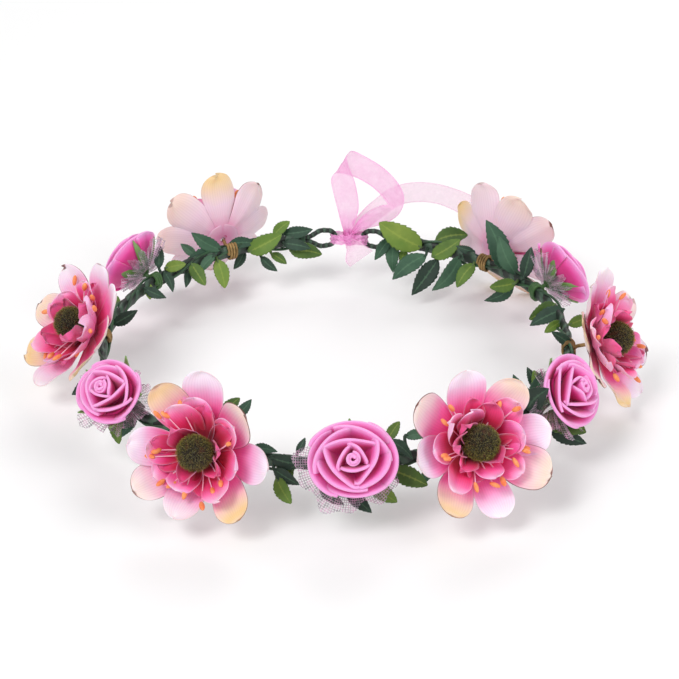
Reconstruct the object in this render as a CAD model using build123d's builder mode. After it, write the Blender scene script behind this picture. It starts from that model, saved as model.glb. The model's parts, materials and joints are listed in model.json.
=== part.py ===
"""A flower crown: a tape-wrapped wire band with silk flowers, foam roses, net, leaf sprigs and a ribbon tie.

Millimetres, +Z up. The origin is the centre of the head opening, on the surface the crown rests on.
Angles round the band are measured from the front (-Y) towards the right (+X): the tie is near 176 degrees.
"""

import os
from math import cos, degrees, radians, sin

from build123d import *

os.makedirs("parts", exist_ok=True)

# ---- driving dimensions -------------------------------------------------------------------------
RING_R = 92.0            # radius of the band's centreline: a 57 cm head inside it
BAND_Z = 21.9            # height of the band above the surface
FLOWER_R = 27.5          # radius of a silk flower
ROSE_R = 14.2            # radius of a foam rose
TIE_ANGLE = 176.0        # where the ribbon joins the two ends
LEFT_HINGE = -44.5       # where the left half of the band is taken to bend
RIGHT_HINGE = 41.5       # where the right half is taken to bend
HINGE_GAP = 0.4          # slit between band sections at each bend

TAPE_W, TAPE_H = 3.0, 5.2            # section of the tape-wrapped band
WIRE_R = 0.65                        # steel core wire
WIRE_SPACING = 2.4                   # between the two runs of core wire
WRAP_R = 1.15                        # tape-wrapped wire at the end loops
WIRE_CLEAR = 0.02                    # tape's bore over the wire
TIE_HALF_GAP = 4.8                   # from the tie's middle to each end loop
LOOP_LENGTH = 14.5                   # end loop, beyond the tape
LOOP_HALF_H = 3.6                    # end loop, centreline half height

STEM_R = 1.1                         # flower stem and the pin the head turns on
PIN_CLEAR = 0.06                     # running clearance round the pin
CLOTH = 0.5                          # thickness of a formed silk petal layer
COIL_R, COIL_WIRE_R = 3.95, 0.6      # stem wire wound round the band
COIL_HALF_STEP = 0.45                # half the angle between its two turns
COLLAR_R, COLLAR_H = 2.7, 1.38       # collar that a flower's back turns against
COLLAR_FOOT = -1.5                   # where the collar starts, below the flower's back
PETALS = 8
PIN_TOP = 9.0                        # the pin's end inside the flower centre

# Each head: angle on the band, facing azimuth, upward tilt, distance out from the band, turn about its axis.
FLOWERS = {
    "flower_front_left": (-28.5, -20, 26, 10.0, 0),
    "flower_front_right": (29, 21, 32, 10.5, 3),
    "flower_right": (84, 66, 24, 11.0, 10),
    "flower_back_right": (136, 143, 13, 8.5, 20),
    "flower_back_left": (209, 207, 12, 8.5, 24),
    "flower_left": (268, 300, 38, 7.5, 12),
}
ROSES = {
    "rose_front": (3, 2, 36, 7.5, 0),
    "rose_right_front": (55, 60, 36, 8.0, 40),
    "rose_right_back": (115, 121, 20, 6.0, 15),
    "rose_left_back": (235, 236, 24, 6.0, 60),
    "rose_left_front": (302.5, 322, 46, 6.5, 25),
}
# Which heads each section of the band carries.
SECTIONS = {
    "front": (["flower_front_left", "flower_front_right"], ["rose_front"]),
    "left": (["flower_left", "flower_back_left"], ["rose_left_front", "rose_left_back"]),
    "right": (["flower_right", "flower_back_right"], ["rose_right_front", "rose_right_back"]),
}
TAPE_END = degrees((TIE_HALF_GAP + LOOP_LENGTH) / RING_R)
HALF_SLIT = degrees(HINGE_GAP / 2 / RING_R)
SPANS = {
    "front": (LEFT_HINGE + HALF_SLIT, RIGHT_HINGE - HALF_SLIT),
    "left": (TIE_ANGLE + TAPE_END, 360 + LEFT_HINGE - HALF_SLIT),
    "right": (RIGHT_HINGE + HALF_SLIT, TIE_ANGLE - TAPE_END),
}

# Each leaf: its angle on the band, then where its blade starts and where it ends. Each is a step to the
# right, up the tilted face that the sprigs are pressed against, and out of that face.
DARK_LEAVES = {
    "front": [
        (-35, (-1, 3, -1.5), (-8, 8.5, -3)), (-26, (3.5, 12, -1), (9.5, 18.5, -3)),
        (-20, (0.5, 2.5, 2.5), (10, 2, 4)), (-15, (0, 1, 2.5), (13, -1.5, 2)),
        (-14, (-0.5, -3, 2), (9, -8.5, 4)), (-9, (0, 3, -2), (3, 8.5, -4)),
        (-4, (0, -8, 1.5), (9, -14.5, 4)), (2, (0, -9.5, 1.5), (9, -17.5, 4)),
        (12, (-0.5, 7, 1.5), (8, 0.5, 3)), (16, (-1, 7.5, 0), (8, 8, -1)),
        (23, (0, -3, -1), (-5, -12, -2)), (35.5, (1, 3, -1.5), (6, 9.5, -3.5)),
    ],
    "left": [
        (194, (0, 3.5, -1), (13, 5, 0)), (194, (0, -1, 3), (12, -3.5, 4)),
        (201, (1, -5, 1.5), (8, -11.5, 2)), (205, (0, -1, -2.5), (-5, -9, -4)),
        (209, (-1, 3, 0.5), (10.5, 3.5, -1)), (212, (0, 1.5, 3), (-12.5, 9, 5)),
        (213, (0, 2, 2), (-15, -4.5, 3)), (214, (0, 0, 4.5), (-6.5, -8, 6)),
        (220, (0, 2.5, -2), (-7, 8, -4)), (224, (1, -1.5, 1), (0.5, -9, 2)),
        (231, (-0.5, 1.5, 3), (3.5, -7, 5)), (232, (-1.5, 3.5, 1.5), (-1.5, 14, 0)),
        (240, (0.5, 0, 2.5), (9.5, -4, 5)), (242, (-0.5, 1, 2.5), (-5, -5, 4)),
        (260, (1, -0.5, 2), (11, 5, 4)), (283, (-2, -1.5, 0), (-13, -10, -5)),
        (286, (0, -2.5, 1), (-8, -13, -3)), (300, (0, 0.5, 3), (8, -2.5, 3.5)),
        (304, (-1, -1, 3), (-9, -4, 4)), (306, (0, -0.5, 4), (-5.5, -9, 5)),
    ],
    "right": [
        (52, (-1.5, 0.5, 4), (5.5, 9.5, 21)), (53, (-1.5, 1.5, 3), (3, 14, 3)),
        (54, (-1.5, 2.5, 1), (-8.5, 12, 0)), (54.5, (4, -7, 2), (18, -14, 4)),
        (58, (-2.5, 3.5, -1), (-6, 12, -3)), (85, (1, 0.5, 2.5), (-7, 6, 3)),
        (102, (2.5, 2, 1.5), (-11.5, -5, 3)), (122, (0.5, 1, 4), (4, 14, 3)),
        (123, (-2.5, -2.5, 2), (-14.5, -9, 3)), (125, (0.5, 1, 2.5), (-6.5, 17, 3)),
        (130, (0, 0.5, 3), (-6.5, 21, 4)), (140, (0.5, 3, 0), (-7, 5.5, -1)),
        (144, (-0.5, -1, 2.5), (-12.5, -15.5, 4)), (148, (0, 2.5, -2), (6, 9, -4)),
        (150, (-1.5, -4.5, 1.5), (-13, -19.5, 3)), (154, (-1, -4, 5), (-15.5, -15, 8)),
        (162.5, (-3.5, 1.5, 3.5), (-10.5, -8, 4.5)), (163.5, (0, 0, 2.5), (-1, -14, 4)),
    ],
}
LIGHT_LEAVES = {
    "front": [
        (-29, (3.5, 11, -1), (9.5, 18, -2)), (-13, (-1, -6, 2), (4.5, -15, 4)),
        (-10, (0, -3, -2), (-6, -9, -3.5)), (7, (0.5, -7, 1.5), (10, -14, 3.5)),
        (12, (0.5, -3.5, 2), (13, -9, 3.5)), (12, (-1, 7, -0.5), (3.5, 13.5, -1.5)),
        (20, (0, 2.5, -2), (5, 9, -4)),
    ],
    "left": [
        (192, (0, -4.5, 1.5), (13.5, -6, 0)), (198, (2, 3.5, 0), (9, 9.5, -1)),
        (198, (1, -4.5, 2), (7.5, -9, 3)), (204, (0.5, -2, 2), (14.5, 5, 4)),
        (214, (1, -2, 2.5), (4.5, -14, 4)), (222, (0.5, 0, 3), (6.5, -9.5, 5)),
        (230, (-1, 2.5, 2.5), (8, 4, 5)), (237, (-0.5, 0, 2.5), (0, -6.5, 3.5)),
        (250, (-2, 1, -1), (-11, 4, -3)), (300, (-3, -3.5, 2), (-2.5, -16, 4)),
        (302, (1, 2.5, -1), (2.5, 9.5, -3)),
    ],
    "right": [
        (54, (1.5, -4.5, 2), (18, -9.5, 6)), (56, (0, 3, -2), (-2, 12, -4)),
        (95, (2, 1, -1), (11, 4, -3)), (98, (-0.5, 0, 2), (-7, -4.5, 2)),
        (106, (1, 1, 3.5), (-10, -5, 6)), (123, (-2, -1.5, 4), (-13, -3, 6)),
        (139, (-1, -2, 1.5), (-8.5, -11.5, 3)), (152, (0.5, 3, 0), (14.5, 5, 1)),
        (152, (-1, -4, 3), (11, 3, 6)), (156, (0, -1, 3), (-18, 10, 5)),
        (160, (-1, -2.5, 1), (-2.5, -9.5, 1)),
    ],
}


# ---- places -------------------------------------------------------------------------------------
def band_point(angle):
    return Vector(RING_R * sin(radians(angle)), -RING_R * cos(radians(angle)), BAND_Z)


def outward(angle):
    return Vector(sin(radians(angle)), -cos(radians(angle)), 0)


def tangent(angle):
    return Vector(cos(radians(angle)), sin(radians(angle)), 0)


def head_plane(angle, azimuth, tilt, reach, turn=0):
    """The plane of a head's base: its Z is the way the head faces."""
    axis = outward(azimuth) * cos(radians(tilt)) + Vector(0, 0, sin(radians(tilt)))
    level = tangent(azimuth)
    turned = level * cos(radians(turn)) + axis.cross(level) * sin(radians(turn))
    return Plane(origin=band_point(angle) + axis * reach, x_dir=turned, z_dir=axis)


LEAF_TILT = 29      # the face that the sprigs are pressed against leans back by this


def leaf_step(right, up, out):
    """A step off the band to the right, up the tilted face and out of it."""
    lean = radians(LEAF_TILT)
    return Vector(right, up * sin(lean) - out * cos(lean), up * cos(lean) + out * sin(lean))


def save(shape, label):
    shape.label = label
    export_step(shape, f"parts/{label}.step")


def placed(shape, planes):
    """Copies of a shape, one on each plane, as separate solids."""
    with BuildPart() as copies:
        with Locations(*planes):
            add(shape)
    return copies.part


# ---- band: core wire, tape and end loops ----------------------------------------------------------
def ring_sector(section, start, end):
    """A sector of the ring whose section was drawn on XZ at the ring's radius on the +X side."""
    with BuildPart() as sector:
        with BuildSketch(Plane.XZ):
            add(section)
        revolve(axis=Axis.Z, revolution_arc=end - start)
    lift = Location((0, 0, BAND_Z), (0, 0, start - 90))
    return sector.part.moved(lift)


def loop_line(end, way):
    """The end loop's centreline: two runs leave the tape, part, and meet in a U. way is +1 or -1."""
    a, b, far = WIRE_SPACING / 2, LOOP_HALF_H, LOOP_LENGTH - WRAP_R
    upper = [(0, a), (2.0, a), (6.5, b), (far, b)]
    lower = [(far, -b), (6.5, -b), (2.0, -a), (0, -a)]
    upright = Plane(origin=band_point(end), x_dir=tangent(end) * way, z_dir=outward(end) * way)
    with BuildLine(upright) as line:
        FilletPolyline(*upper, *lower, radius=[3.0, 3.0, b - 0.02, b - 0.02, 3.0, 3.0])
    return line.line


def loop_tube(end, way, outer, inner=0.0):
    """A round tube, or a wire, swept round the end loop."""
    upper_wire = band_point(end) + Vector(0, 0, WIRE_SPACING / 2)
    start = Plane(origin=upper_wire, x_dir=outward(end), z_dir=tangent(end) * way)
    with BuildPart() as tube:
        with BuildSketch(start):
            Circle(outer)
            if inner:
                Circle(inner, mode=Mode.SUBTRACT)
        sweep(path=loop_line(end, way))
    return tube.part


with BuildSketch() as tape_section:
    with Locations((RING_R, 0)):
        SlotOverall(TAPE_H, TAPE_W, rotation=90)
    with Locations((RING_R, WIRE_SPACING / 2), (RING_R, -WIRE_SPACING / 2)):
        Circle(WIRE_R + WIRE_CLEAR, mode=Mode.SUBTRACT)

with BuildSketch() as core_section:
    with Locations((RING_R, WIRE_SPACING / 2), (RING_R, -WIRE_SPACING / 2)):
        Circle(WIRE_R)

LOOP_AT = {"left": (SPANS["left"][0], -1), "right": (SPANS["right"][1], 1)}

for side, (start, end) in SPANS.items():
    with BuildPart() as band_tape:
        add(ring_sector(tape_section.sketch, start, end))
        if side in LOOP_AT:
            add(loop_tube(*LOOP_AT[side], WRAP_R, WIRE_R + WIRE_CLEAR))
    save(band_tape.part, f"band_tape_{side}")

    with BuildPart() as band_core:
        add(ring_sector(core_section.sketch, start, end))
        if side in LOOP_AT:
            add(loop_tube(*LOOP_AT[side], WIRE_R))
    save(band_core.part, f"band_core_{side}")


# ---- silk flower, modelled with its axis on +Z and the back of its outer layer at zero -------------
def formed_layer(inner, bend, middle, rim, outline):
    """A one-piece cloth layer: a dished sheet through four (radius, height) points, cut to petals."""
    with BuildPart() as layer:
        with BuildSketch(Plane.XZ):
            with BuildLine():
                Line(inner, bend)
                ThreePointArc(bend, middle, rim)
                raised = [(r, h + CLOTH) for r, h in (inner, bend, middle, rim)]
                Line(rim, raised[3])
                ThreePointArc(raised[3], raised[2], raised[1])
                Line(raised[1], raised[0])
                Line(raised[0], inner)
            make_face()
        revolve(axis=Axis.Z)
        with BuildSketch(Plane.XY.offset(-5)):
            add(outline)
        extrude(amount=40, mode=Mode.INTERSECT)
    return layer.part


def petal_outline(count, hub, centre, half_length, half_width, turn=0.0):
    """A hub with a ring of oval petals, as the cloth is die-cut."""
    with BuildSketch() as outline:
        Circle(hub)
        with PolarLocations(centre, count, start_angle=turn):
            Ellipse(half_length, half_width)
    return outline.sketch


HOLE_R = STEM_R + PIN_CLEAR
OUTER_SLOPE = [(HOLE_R, 0), (4.5, 0.3), (16, 3.0), (FLOWER_R, 9.0)]
MIDDLE_SLOPE = [(HOLE_R, 0.8), (4.5, 1.2), (13, 4.2), (22, 10.0)]
INNER_SLOPE = [(HOLE_R, 1.6), (4.0, 1.9), (9, 4.4), (15, 9.9)]

outer_petals = formed_layer(*OUTER_SLOPE, petal_outline(PETALS, 9.0, 17.6, 9.9, 7.0))
middle_petals = formed_layer(*MIDDLE_SLOPE, petal_outline(PETALS, 7.5, 13.6, 8.4, 5.7))
inner_petals = formed_layer(*INNER_SLOPE, petal_outline(9, 5.6, 9.6, 5.4, 2.5, turn=11))

FILAMENTS = 10
FILAMENT_SLOPE = 39.0                # degrees above the petal plane
FILAMENT_ROOT = (3.0, 3.1)           # radius and height where a filament leaves its ring
FILAMENT_LENGTH = 13.5
with BuildPart() as stamens:
    with BuildSketch(Plane.XY.offset(2.7)):
        Circle(3.6)
        Circle(HOLE_R, mode=Mode.SUBTRACT)
    extrude(amount=0.8)
    for turn in range(FILAMENTS):
        heading = outward(turn * 360 / FILAMENTS)
        rise = heading * cos(radians(FILAMENT_SLOPE)) + Vector(0, 0, sin(radians(FILAMENT_SLOPE)))
        root = heading * FILAMENT_ROOT[0] + Vector(0, 0, FILAMENT_ROOT[1])
        with BuildSketch(Plane(origin=root, z_dir=rise)):
            Circle(0.38)
        extrude(amount=FILAMENT_LENGTH)
        with Locations(Plane(origin=root + rise * FILAMENT_LENGTH, z_dir=rise)):
            Sphere(1.0)

CENTRE_R, CENTRE_H, CENTRE_FOOT = 6.3, 10.3, 5.0
with BuildPart() as flower_centre:
    with Locations((0, 0, CENTRE_H)):
        Sphere(CENTRE_R)
    with Locations((0, 0, CENTRE_FOOT)):
        Box(20, 20, 20, align=(Align.CENTER, Align.CENTER, Align.MAX), mode=Mode.SUBTRACT)
    with BuildSketch(Plane.XY.offset(CENTRE_FOOT - 1)):
        Circle(HOLE_R)
    extrude(amount=PIN_TOP + 0.3 - (CENTRE_FOOT - 1), mode=Mode.SUBTRACT)

FLOWER_NODES = {
    "outer_petals": outer_petals,
    "middle_petals": middle_petals,
    "inner_petals": inner_petals,
    "stamens": stamens.part,
    "centre": flower_centre.part,
}
for flower, place in FLOWERS.items():
    for node, shape in FLOWER_NODES.items():
        save(placed(shape, [head_plane(*place)]), f"{flower}_{node}")


def band_coil(angle):
    """Two turns of wire round the band."""
    with BuildPart() as coil:
        for shift in (-COIL_HALF_STEP, COIL_HALF_STEP):
            at = angle + shift
            with Locations(Plane(origin=band_point(at), z_dir=tangent(at))):
                Torus(COIL_R, COIL_WIRE_R)
    return coil.part


def flower_stem(angle, azimuth, tilt, reach, turn):
    """The stem wire: wound round the band, then out to a collar and the pin that the head turns on."""
    base = head_plane(angle, azimuth, tilt, reach)
    foot = COIL_R - reach
    with BuildPart() as stem:
        add(band_coil(angle))
        with BuildSketch(base.offset(foot)):
            Circle(STEM_R)
        extrude(amount=PIN_TOP - foot)
        with BuildSketch(base.offset(COLLAR_FOOT)):
            Circle(COLLAR_R)
        extrude(amount=COLLAR_H)
    return stem.part


# ---- foam rose, on the same kind of plane -----------------------------------------------------------
with BuildPart() as rose_foam:
    with BuildSketch(Plane.XZ):
        with BuildLine():
            Line((0, 2.6), (3.0, 2.6))
            ThreePointArc((3.0, 2.6), (9.6, 4.6), (13.6, 10.4))
            ThreePointArc((13.6, 10.4), (ROSE_R, 12.2), (13.2, 12.8))
            Line((13.2, 12.8), (11.6, 9.4))
            ThreePointArc((11.6, 9.4), (11.4, 12.6), (10.0, 14.4))
            Line((10.0, 14.4), (8.2, 11.2))
            ThreePointArc((8.2, 11.2), (7.6, 14.2), (5.8, 15.9))
            Line((5.8, 15.9), (4.4, 13.2))
            ThreePointArc((4.4, 13.2), (3.3, 15.4), (1.0, 16.2))
            Line((1.0, 16.2), (0, 16.2))
            Line((0, 16.2), (0, 2.6))
        make_face()
    revolve(axis=Axis.Z)

SEPALS = 5
with BuildPart() as rose_calyx:
    with BuildSketch(Plane.XZ):
        with BuildLine():
            Line((0, 0), (2.6, 0))
            ThreePointArc((2.6, 0), (8.6, 2.1), (14.0, 8.2))
            Line((14.0, 8.2), (13.7, 8.5))
            ThreePointArc((13.7, 8.5), (9.2, 3.3), (3.0, 1.1))
            Line((3.0, 1.1), (0, 1.1))
            Line((0, 1.1), (0, 0))
        make_face()
    revolve(axis=Axis.Z)
    with BuildSketch(Plane.XY.offset(-5)):
        Circle(3.4)
        with PolarLocations(0, SEPALS, start_angle=18):
            with BuildLine():
                Polyline((0, 3.4), (7.2, 2.4), (13.6, 0), (7.2, -2.4), (0, -3.4), (0, 3.4))
            make_face()
    extrude(amount=20, mode=Mode.INTERSECT)

NET = 0.3
with BuildPart() as tulle_collar:
    with BuildSketch(Plane.XZ):
        with BuildLine():
            under = [(HOLE_R, -0.9), (8.0, -0.7), (21.0, 0.6)]
            over = [(21.0, 0.6 + NET), (8.0, NET - 0.7), (HOLE_R, NET - 0.9)]
            Polyline(*under, *over, under[0])
        make_face()
    revolve(axis=Axis.Z)
    with BuildSketch(Plane.XY.offset(-5)):
        with Locations((11.5, -1.5), (-11.5, -1.5)):
            Ellipse(9.0, 6.2)
        Circle(6.0)
    extrude(amount=20, mode=Mode.INTERSECT)


def rose_stem(angle, azimuth, tilt, reach, turn):
    """The rose's wire: wound round the band and out to the calyx."""
    base = head_plane(angle, azimuth, tilt, reach)
    foot = COIL_R - reach
    with BuildPart() as stem:
        add(band_coil(angle))
        with BuildSketch(base.offset(foot)):
            Circle(STEM_R)
        extrude(amount=0.2 - foot)
    return stem.part


for rose, place in ROSES.items():
    save(placed(rose_foam.part, [head_plane(*place)]), rose)


# ---- leaves -----------------------------------------------------------------------------------------
LEAF_SHEET = 0.4
DARK_WIDTH, LIGHT_WIDTH = 0.44, 0.54      # a leaf's width as a share of its length


def leaf(length, width):
    """A leaf along +X from its stalk, arched lengthways, pointed at its tip."""
    sag = length * 0.07
    with BuildPart() as blade:
        with BuildSketch(Plane.XZ):
            with BuildLine():
                ThreePointArc((-0.8, 0), (length / 2, sag), (length, 0))
                Line((length, 0), (length, LEAF_SHEET))
                ThreePointArc((length, LEAF_SHEET), (length / 2, sag + LEAF_SHEET), (-0.8, LEAF_SHEET))
                Line((-0.8, LEAF_SHEET), (-0.8, 0))
            make_face()
        extrude(amount=width, both=True)
        with BuildSketch(Plane.XY.offset(-5)):
            with BuildLine():
                ThreePointArc((2.0, 0.5), (length * 0.46, width / 2), (length - 0.3, 0.15))
                Line((length - 0.3, 0.15), (length - 0.3, -0.15))
                ThreePointArc((length - 0.3, -0.15), (length * 0.46, -width / 2), (2.0, -0.5))
                Line((2.0, -0.5), (2.0, 0.5))
            make_face()
            with Locations((0.7, 0)):
                Rectangle(3.0, 1.0)
        extrude(amount=10, mode=Mode.INTERSECT)
    return blade.part


STALK_R = 0.55


def stalk_start(stalk):
    """How far from the centreline a stalk starts: inside the tape, clear of the two core wires."""
    steepness = abs(stalk.Z) / stalk.length
    return (TAPE_W / 2 - 0.25) * (1 - steepness) + (TAPE_H / 2 - 0.4) * steepness


def sprig(leaves, width_share):
    """Every leaf of one kind on one section, each on a stalk of its own."""
    with BuildPart() as group:
        for angle, foot, tip in leaves:
            stalk = leaf_step(*foot)
            blade = leaf_step(*tip) - stalk
            face = blade.cross(leaf_step(0, 0, 1).cross(blade))
            with Locations(Plane(origin=band_point(angle) + stalk, x_dir=blade, z_dir=face)):
                add(leaf(blade.length, blade.length * width_share))
            start = stalk_start(stalk)
            with Locations(Plane(origin=band_point(angle) + stalk.normalized() * start, z_dir=stalk)):
                Cylinder(STALK_R, stalk.length - start, align=(Align.CENTER, Align.CENTER, Align.MIN))
    return group.part


for side, (flowers, roses) in SECTIONS.items():
    save(sprig(DARK_LEAVES[side], DARK_WIDTH), f"dark_leaves_{side}")
    save(sprig(LIGHT_LEAVES[side], LIGHT_WIDTH), f"light_leaves_{side}")

    with BuildPart() as stems:
        for flower in flowers:
            add(flower_stem(*FLOWERS[flower]))
    save(stems.part, f"flower_stems_{side}")

    with BuildPart() as calyxes:
        for rose in roses:
            add(rose_stem(*ROSES[rose]))
            add(placed(rose_calyx.part, [head_plane(*ROSES[rose])]))
    save(calyxes.part, f"rose_calyxes_{side}")

    collars = [head_plane(*ROSES[rose][:4]) for rose in roses]
    save(placed(tulle_collar.part, collars), f"tulle_{side}")


# ---- ribbon: a knot between the end loops, a bow loop, two tails, and a strand round each end loop ----
RIBBON_T = 0.6
BOW_W, TAIL_W, STRAND_W = 8.0, 7.0, 4.2
KNOT_W, KNOT_D, KNOT_H = 5.2, 8.0, 7.0

TIE_POINT = band_point(TIE_ANGLE)
RIGHTWARD = tangent(TIE_ANGLE) * -1
tie_upright = Plane(origin=TIE_POINT, x_dir=RIGHTWARD, z_dir=outward(TIE_ANGLE) * -1)
tie_level = Plane(origin=TIE_POINT, x_dir=RIGHTWARD, z_dir=(0, 0, 1))

with BuildPart() as ribbon_knot:
    with BuildSketch(tie_level.offset(-KNOT_H / 2)):
        RectangleRounded(KNOT_W, KNOT_D, 1.8)
    extrude(amount=KNOT_H)
    fillet(ribbon_knot.faces().filter_by(Axis.Z).edges(), 1.2)
save(ribbon_knot.part, "ribbon_knot")


def strip(plane, points, radii, width):
    """A strip of ribbon bent round corners in one plane, its width square to that plane."""
    with BuildPart() as bent:
        with BuildSketch(plane):
            with BuildLine():
                FilletPolyline(*points, radius=radii)
            trace(line_width=RIBBON_T)
        extrude(amount=width / 2, both=True)
    return bent.part


BOW_FOOT = KNOT_H / 2 + RIBBON_T / 2 + 0.02
BOW_CORNERS = [
    (-1.2, BOW_FOOT), (-2.6, BOW_FOOT), (-8.6, 22.5), (-1.0, 37.5), (22.5, 20.5), (2.2, BOW_FOOT),
    (1.2, BOW_FOOT),
]
bow_loop = strip(tie_upright, BOW_CORNERS, [0.6, 8.5, 5.0, 5.5, 0.6], BOW_W)

# The long tail runs up behind the bow and over to the right, clear of the back flower.
TAIL_TURN = 16.0
tail_upright = Plane(
    origin=TIE_POINT + outward(TIE_ANGLE) * 5.5,
    x_dir=outward(90 + TAIL_TURN),
    z_dir=outward(TAIL_TURN),
)
TAIL_CORNERS = [(-1.5, 4.4), (6.0, 9.5), (17.0, 20.5), (33.0, 24.5), (51.0, 20.0), (66.0, 9.5)]
long_tail = strip(tail_upright, TAIL_CORNERS, [14.0, 20.0, 30.0, 30.0], TAIL_W)

SHORT_TAIL = [(0.6, -KNOT_H / 2 - 0.02), (0.6, -6.0), (4.6, -11.5)]
short_tail = strip(tie_upright, SHORT_TAIL, [3.0], TAIL_W)
with BuildPart() as ribbon_bow:
    add(bow_loop)
    add(long_tail)
    add(short_tail)
save(ribbon_bow.part, "ribbon_bow_and_tails")

# Each strand leaves the knot, rounds the end loop's U and comes back.
STRAND_FAR = TIE_HALF_GAP + 2 * WRAP_R + 1.2
STRAND_HALF = WRAP_R + 0.35 + RIBBON_T
for side, way in (("left", -1), ("right", 1)):
    near, far = way * (KNOT_W / 2 + 0.02), way * (STRAND_FAR + RIBBON_T)
    length = abs(far - near)
    with BuildPart() as ribbon_strand:
        with BuildSketch(tie_level.offset(-STRAND_W / 2)):
            with Locations(((near + far) / 2, 0.75)):
                RectangleRounded(length, 2 * STRAND_HALF, 1.4)
                RectangleRounded(length - 2 * RIBBON_T, 2 * (STRAND_HALF - RIBBON_T), 0.8, mode=Mode.SUBTRACT)
        extrude(amount=STRAND_W)
    save(ribbon_strand.part, f"ribbon_strand_{side}")
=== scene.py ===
"""The looks of a flower crown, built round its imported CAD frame. The tables are in millimetres."""

import json
from math import cos, pi, radians, sin

import bpy
import numpy as np
from mathutils import Matrix, Vector


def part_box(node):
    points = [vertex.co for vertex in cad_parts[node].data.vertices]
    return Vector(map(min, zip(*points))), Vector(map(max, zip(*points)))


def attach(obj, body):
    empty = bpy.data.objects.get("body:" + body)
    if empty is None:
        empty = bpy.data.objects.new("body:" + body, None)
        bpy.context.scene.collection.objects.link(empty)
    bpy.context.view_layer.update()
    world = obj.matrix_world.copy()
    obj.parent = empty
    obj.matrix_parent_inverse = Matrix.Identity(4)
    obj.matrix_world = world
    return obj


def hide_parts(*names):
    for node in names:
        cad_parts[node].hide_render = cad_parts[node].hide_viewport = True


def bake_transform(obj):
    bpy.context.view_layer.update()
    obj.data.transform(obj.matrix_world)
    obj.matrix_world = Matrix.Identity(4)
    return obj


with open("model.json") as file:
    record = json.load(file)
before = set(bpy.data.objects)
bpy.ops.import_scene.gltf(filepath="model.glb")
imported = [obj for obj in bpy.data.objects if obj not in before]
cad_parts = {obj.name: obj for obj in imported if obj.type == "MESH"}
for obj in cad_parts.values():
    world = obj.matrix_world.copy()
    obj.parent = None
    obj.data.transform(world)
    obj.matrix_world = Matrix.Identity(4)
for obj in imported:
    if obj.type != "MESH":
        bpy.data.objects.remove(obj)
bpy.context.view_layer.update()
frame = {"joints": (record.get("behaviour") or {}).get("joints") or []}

MM = 0.001
tape_low, tape_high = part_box("band_tape_front")
BAND_Z = (tape_low.z + tape_high.z) / 2 / MM      # height of the band's centreline
RING_R = -tape_low.y / MM - 1.5                   # radius of the band's centreline
TIE_ANGLE = 176.0
LEFT_HINGE, RIGHT_HINGE = -44.5, 41.5
TAPE_ENDS = (188.02, 163.98)                      # where the tape stops, left and right of the tie
LOOP_LENGTH, LOOP_HALF_H, WRAP_R, WIRE_SPACING = 14.5, 3.6, 1.15, 2.4

# ---- numbers and points ----------------------------------------------------------------------------


def smoothstep(x, low, high):
    """0 up to low, 1 from high on, and smooth between."""
    t = np.clip((np.asarray(x, float) - low) / (high - low), 0, 1)
    return t * t * (3 - 2 * t)


def srgb(red, green, blue):
    """A colour given as 0 to 255 on a screen, in the linear values that shaders use."""
    screen = np.array([red, green, blue]) / 255
    linear = np.where(screen <= 0.04045, screen / 12.92, ((screen + 0.055) / 1.055) ** 2.4)
    return (*linear.tolist(), 1.0)


def unit(vectors):
    return vectors / np.linalg.norm(vectors, axis=-1, keepdims=True)


def curve_through(points, count):
    """Points evenly spread by parameter on a Catmull-Rom curve through the given ones."""
    p = np.asarray(points, float)
    p = np.vstack([2 * p[0] - p[1], p, 2 * p[-1] - p[-2]])
    spans = len(p) - 3
    at = np.linspace(0, spans - 1e-9, count)
    k = at.astype(int)
    t = (at - k)[:, None]
    a, b, c, d = p[k], p[k + 1], p[k + 2], p[k + 3]
    return 0.5 * (2 * b + (c - a) * t + (2 * a - 5 * b + 4 * c - d) * t**2 + (3 * b - a - 3 * c + d) * t**3)


def outward(angle):
    return np.array([sin(radians(angle)), -cos(radians(angle)), 0.0])


def tangent(angle):
    return np.array([cos(radians(angle)), sin(radians(angle)), 0.0])


UP = np.array([0.0, 0.0, 1.0])


def band_point(angle):
    return RING_R * outward(angle) + BAND_Z * UP


class Place:
    """A local frame: points given in it, in millimetres, are taken to the crown's frame."""

    def __init__(self, origin, x_axis, z_axis):
        z = unit(np.asarray(z_axis, float))
        x = np.asarray(x_axis, float)
        x = unit(x - z * (x @ z))
        self.axes = np.stack([x, np.cross(z, x), z])
        self.origin = np.asarray(origin, float)

    def out(self, points):
        return np.asarray(points, float) @ self.axes + self.origin


def head_place(origin, axis, turn):
    """The frame of a flower or rose head: Z is the way it faces."""
    axis = np.asarray(axis, float)
    level = unit(np.cross(UP, axis))
    turned = level * cos(radians(turn)) + np.cross(axis, level) * sin(radians(turn))
    return Place(origin, turned, axis)


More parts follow.
